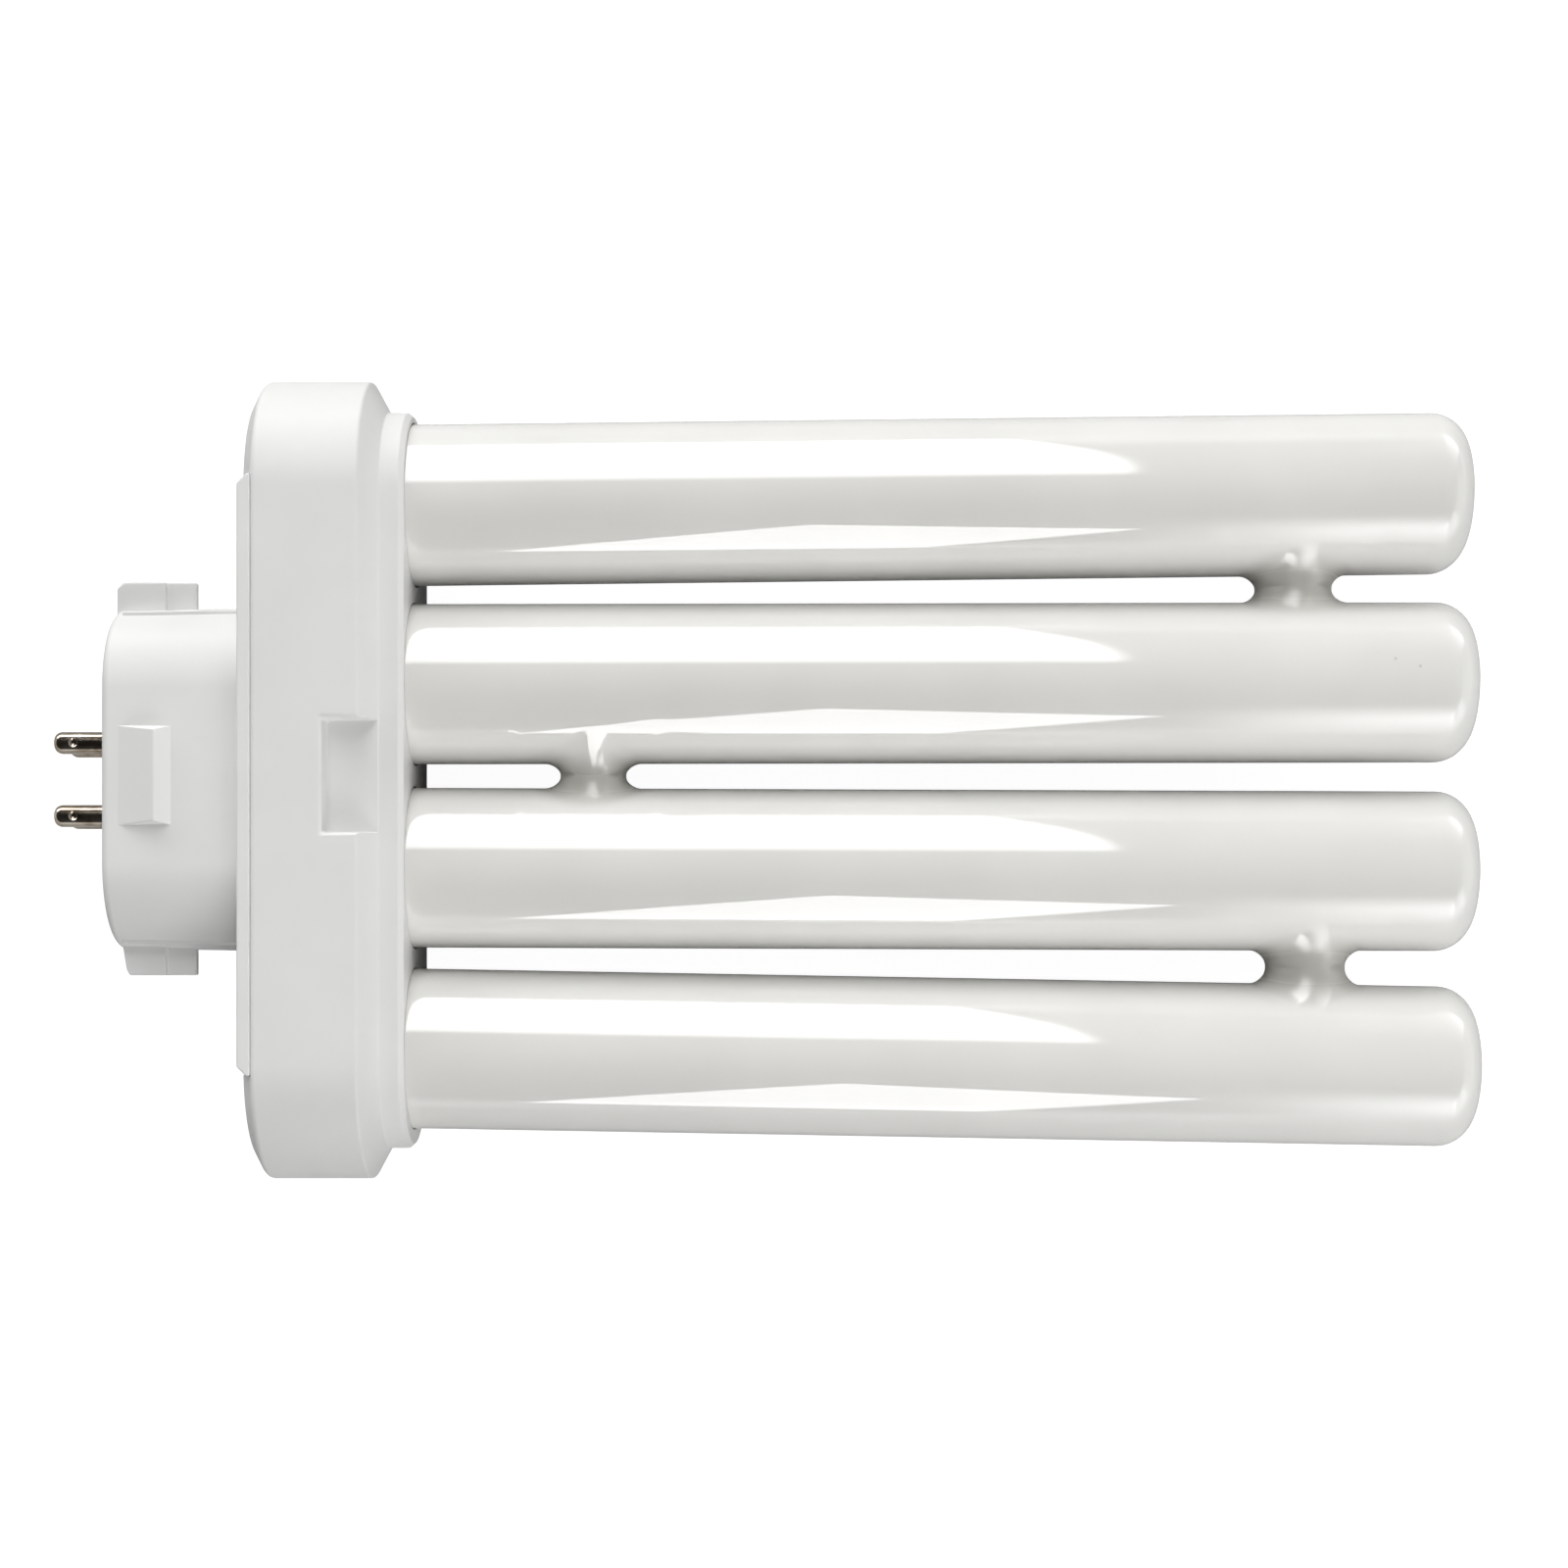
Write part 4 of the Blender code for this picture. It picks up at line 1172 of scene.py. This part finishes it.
def pale_floor():
    """Pale table, white where it is seen, also in the glass and the pins, with the lamp's soft shadow."""
    bm = bmesh.new()
    corners = ((-1, -1), (1, -1), (1, 1), (-1, 1))
    bm.faces.new([bm.verts.new((x * TABLE_HALF, y * TABLE_HALF, 0.0)) for x, y in corners])
    floor = clean_object("pale_table", bm)
    made, tree, shader = new_material("pale_table")
    tree.nodes.remove(shader)
    # The camera sees it glow white under the shadow, mirrors see it pale, and it sends little light up
    glow = add_node(tree, "ShaderNodeEmission", {"Strength": 0.96}).outputs[0]
    lit = add_node(tree, "ShaderNodeAddShader", {0: matt(tree, 0.3), 1: glow}).outputs[0]
    white = mixed_shader(tree, seen_by_camera(tree), matt(tree, 0.62), lit)
    seen = mixed_shader(tree, seen_white(tree), matt(tree, 0.12), white)
    set_inputs(tree, tree.nodes["Material Output"], {"Surface": seen})
    floor.data.materials.append(made)


def studio_world():
    """White to the camera, a white horizon under a dark ceiling in the gloss, and even light on the lamp."""
    world = bpy.data.worlds.new("studio")
    world.use_nodes = True
    tree = world.node_tree
    place = add_node(tree, "ShaderNodeTexCoord").outputs["Generated"]
    split = add_node(tree, "ShaderNodeSeparateXYZ", {0: place})
    white, dim, dark = (1.0, 1.0, 1.0), (0.06, 0.06, 0.06), (0.02, 0.02, 0.02)
    room = ramp(tree, split.outputs["Z"], ((0.16, white), (0.34, dim), (1.0, dark)))
    seen = mixed(tree, seen_by_camera(tree), room, (*white, 1.0))
    even = mixed(tree, seen_white(tree), (AMBIENT, AMBIENT, AMBIENT, 1.0), seen)
    set_inputs(tree, tree.nodes["Background"], {"Color": even, "Strength": 1.0})
    bpy.context.scene.world = world


def studio_camera():
    """Camera that looks straight down on the lamp from a little below its middle in the frame."""
    data = bpy.data.cameras.new("camera")
    data.lens = CAMERA_LENS
    data.sensor_width = CAMERA_SENSOR
    data.clip_start = CAMERA_NEAREST
    data.shift_y = CAMERA_SHIFT
    camera = bpy.data.objects.new("camera", data)
    camera.location = LAMP_CENTRE + Vector((0.0, -CAMERA_BELOW, CAMERA_DISTANCE))
    bpy.context.collection.objects.link(camera)
    bpy.context.scene.camera = camera


def soft_edges(data, soft, slant):
    """Fades a softbox out at its edges."""
    data.use_nodes = True
    tree = data.node_tree
    place = add_node(tree, "ShaderNodeNewGeometry").outputs["Parametric"]
    split = add_node(tree, "ShaderNodeSeparateXYZ", {0: place}).outputs
    drawn_in = arithmetic(tree, "MULTIPLY_ADD", split["Y"], slant, split["X"])
    shares = [
        fade(tree, source, start, end)
        for source, start, end in (
            (split["X"], soft[0], 0.0),
            (drawn_in, 1.0 - soft[1], 1.0),
            (split["Y"], soft[2], 0.0),
            (split["Y"], 1.0 - soft[3], 1.0),
        )
        if start != end
    ]
    level = reduce(lambda first, second: arithmetic(tree, "MULTIPLY", first, second), shares)
    set_inputs(tree, tree.nodes["Emission"], {"Strength": level})


def softbox(name, centre, along, across, size, radiance, soft, slant=0.0):
    """Rectangular softbox that shines back on the lamp.

    Along and across are the directions of its sides and turn right-handed away from the lamp, and centre is
    taken from the lamp's own. Soft is the share of the side over which it fades at its first and last edge
    along and across, and slant draws the last edge along in towards the last edge across.
    """
    data = bpy.data.lights.new(name, "AREA")
    data.shape = "RECTANGLE"
    data.size, data.size_y = size
    data.energy = radiance * math.pi * size[0] * size[1]
    u = Vector(along).normalized()
    v = Vector(across)
    v = (v - u * v.dot(u)).normalized()
    light = bpy.data.objects.new(name, data)
    turn = Matrix((u, v, u.cross(v))).transposed()
    light.matrix_world = Matrix.Translation(LAMP_CENTRE + Vector(centre)) @ turn.to_4x4()
    light.visible_camera = False
    bpy.context.collection.objects.link(light)
    soft_edges(data, soft, slant)


def studio_lights():
    # Great softbox beyond the upper tube, from 22 degrees off the zenith almost down to the table
    near, far = Vector((0.0, 0.52, 1.285)), Vector((0.0, 1.72, 0.14))
    right, left = 0.219, -0.30
    softbox(
        "great_softbox",
        centre=(near + far) / 2 + Vector(((right + left) / 2, 0, 0)),
        along=(1, 0, 0),
        across=far - near,
        size=(right - left, (far - near).length),
        radiance=4.4,
        soft=(0.0, 0.03, 0.14, 0.0),
        slant=0.12,
    )
    # Low softbox beside it, past the plug, for the ends of the plug and the holder
    softbox(
        "low_softbox",
        centre=(-0.95, 1.35, 0.36),
        along=(1.2, 0.7, 0),
        across=(-0.1, 0.2, -0.7),
        size=(1.3, 0.66),
        radiance=6.2,
        soft=(0.1, 0.1, 0.3, 0.0),
    )
    # Pale wall right of the great softbox, fading out upwards
    softbox(
        "pale_wall",
        centre=(0.80, 1.15, 0.62),
        along=(1.15, -0.55, 0),
        across=(0.25, 0.5, -1.0),
        size=(1.1, 1.2),
        radiance=2.2,
        soft=(0.3, 0.1, 0.85, 0.0),
    )
    # Narrow softbox on the other side, turned well away from the lamp, which makes the wedge in every tube
    first = Vector((-0.074, -0.414, 0.085))
    along = Vector((0.132, -0.229, 0.027))
    across = Vector((0.087, 0.087, 0.314))
    softbox(
        "turned_softbox",
        centre=first + (along + across) / 2,
        along=along,
        across=across,
        size=(along.length, across.length),
        radiance=4.5,
        soft=(0.0, 0.05, 0.03, 0.0),
    )
    # Low strip on the same side, along the table
    softbox(
        "table_strip",
        centre=(0.0, -1.3, 0.17),
        along=(-1, 0, 0),
        across=(0, 0, 1),
        size=(1.5, 0.36),
        radiance=4.4,
        soft=(0.2, 0.2, 0.0, 0.5),
    )
    # Box with soft edges past the free ends, whose streak lies along the last third of the tubes
    middle = math.radians(60)
    softbox(
        "end_softbox",
        centre=(0.345, -math.sin(middle), math.cos(middle)),
        along=(0, -math.cos(middle), -math.sin(middle)),
        across=(1, 0, 0),
        size=(1.0, 0.37),
        radiance=3.6,
        soft=(0.5, 0.5, 0.45, 0.0),
    )
    # Fill from the corner past the free ends, outside what the tubes mirror
    softbox(
        "corner_softbox",
        centre=(0.66, -0.66, 0.42),
        along=(1, 1, 0),
        across=(-0.28, 0.28, 0.88),
        size=(0.85, 0.65),
        radiance=2.3,
        soft=(0.3, 0.3, 0.3, 0.3),
    )
    # Low fill from the tubes' side, which lights the collar and the tubes' ends more than the plug
    softbox(
        "side_softbox",
        centre=(0.52, -0.05, 0.24),
        along=(0, 1, 0),
        across=(-0.4, 0, 0.9),
        size=(0.9, 0.44),
        radiance=0.8,
        soft=(0.4, 0.4, 0.4, 0.4),
    )


def finish_cad_nodes(finishes):
    """Gives every CAD node, shown or hidden, its own finish."""
    for name, obj in frame["nodes"].items():
        finish = next(made for start, made in finishes if name.startswith(start))
        for slot in obj.material_slots:
            slot.material = finish


def build():
    """Finishes every CAD node, dresses the pieces that the photo shows and sets up the studio."""
    bpy.context.scene.view_settings.view_transform = "Standard"
    glass = coated_glass()
    holder_white = white_moulding("holder_white", (0.82, 0.82, 0.81), (0.79, 0.79, 0.78))
    base_white = white_moulding("base_white", (0.83, 0.83, 0.82), (0.80, 0.80, 0.79))
    cement = poured_cement()
    pin_metal = plated_metal("pin_metal", (0.58, 0.52, 0.45), (0.34, 0.28, 0.21), 0.16)
    wire_metal = plated_metal("wire_metal", (0.66, 0.60, 0.52), (0.50, 0.44, 0.36), 0.3)
    finish_cad_nodes(
        (
            ("glass", glass),
            ("tube", holder_white),
            ("base_cap", base_white),
            ("basing", cement),
            ("contact", pin_metal),
            ("lead", wire_metal),
        )
    )
    pieces = [
        (glass_vessel(), "glass_vessel", "coated_glass", glass),
        (tube_holder(), "tube_holder", "holder_plastic", holder_white),
        (base_cap(), "base_cap", "base_plastic", base_white),
    ]
    tree, sockets = turned_pin_tree()
    for number, place in enumerate(pin_places(), 1):
        pin = contact_pin(number, place, tree, sockets, pin_metal)
        pieces.append((pin, f"contact_pin_{number}", "pin_metal", pin_metal))
    for piece, node, slot, finish in pieces:
        piece.data.materials.clear()
        piece.data.materials.append(finish)
        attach(piece, "root")
        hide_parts(node)
    pale_floor()
    studio_world()
    studio_lights()
    studio_camera()


build()
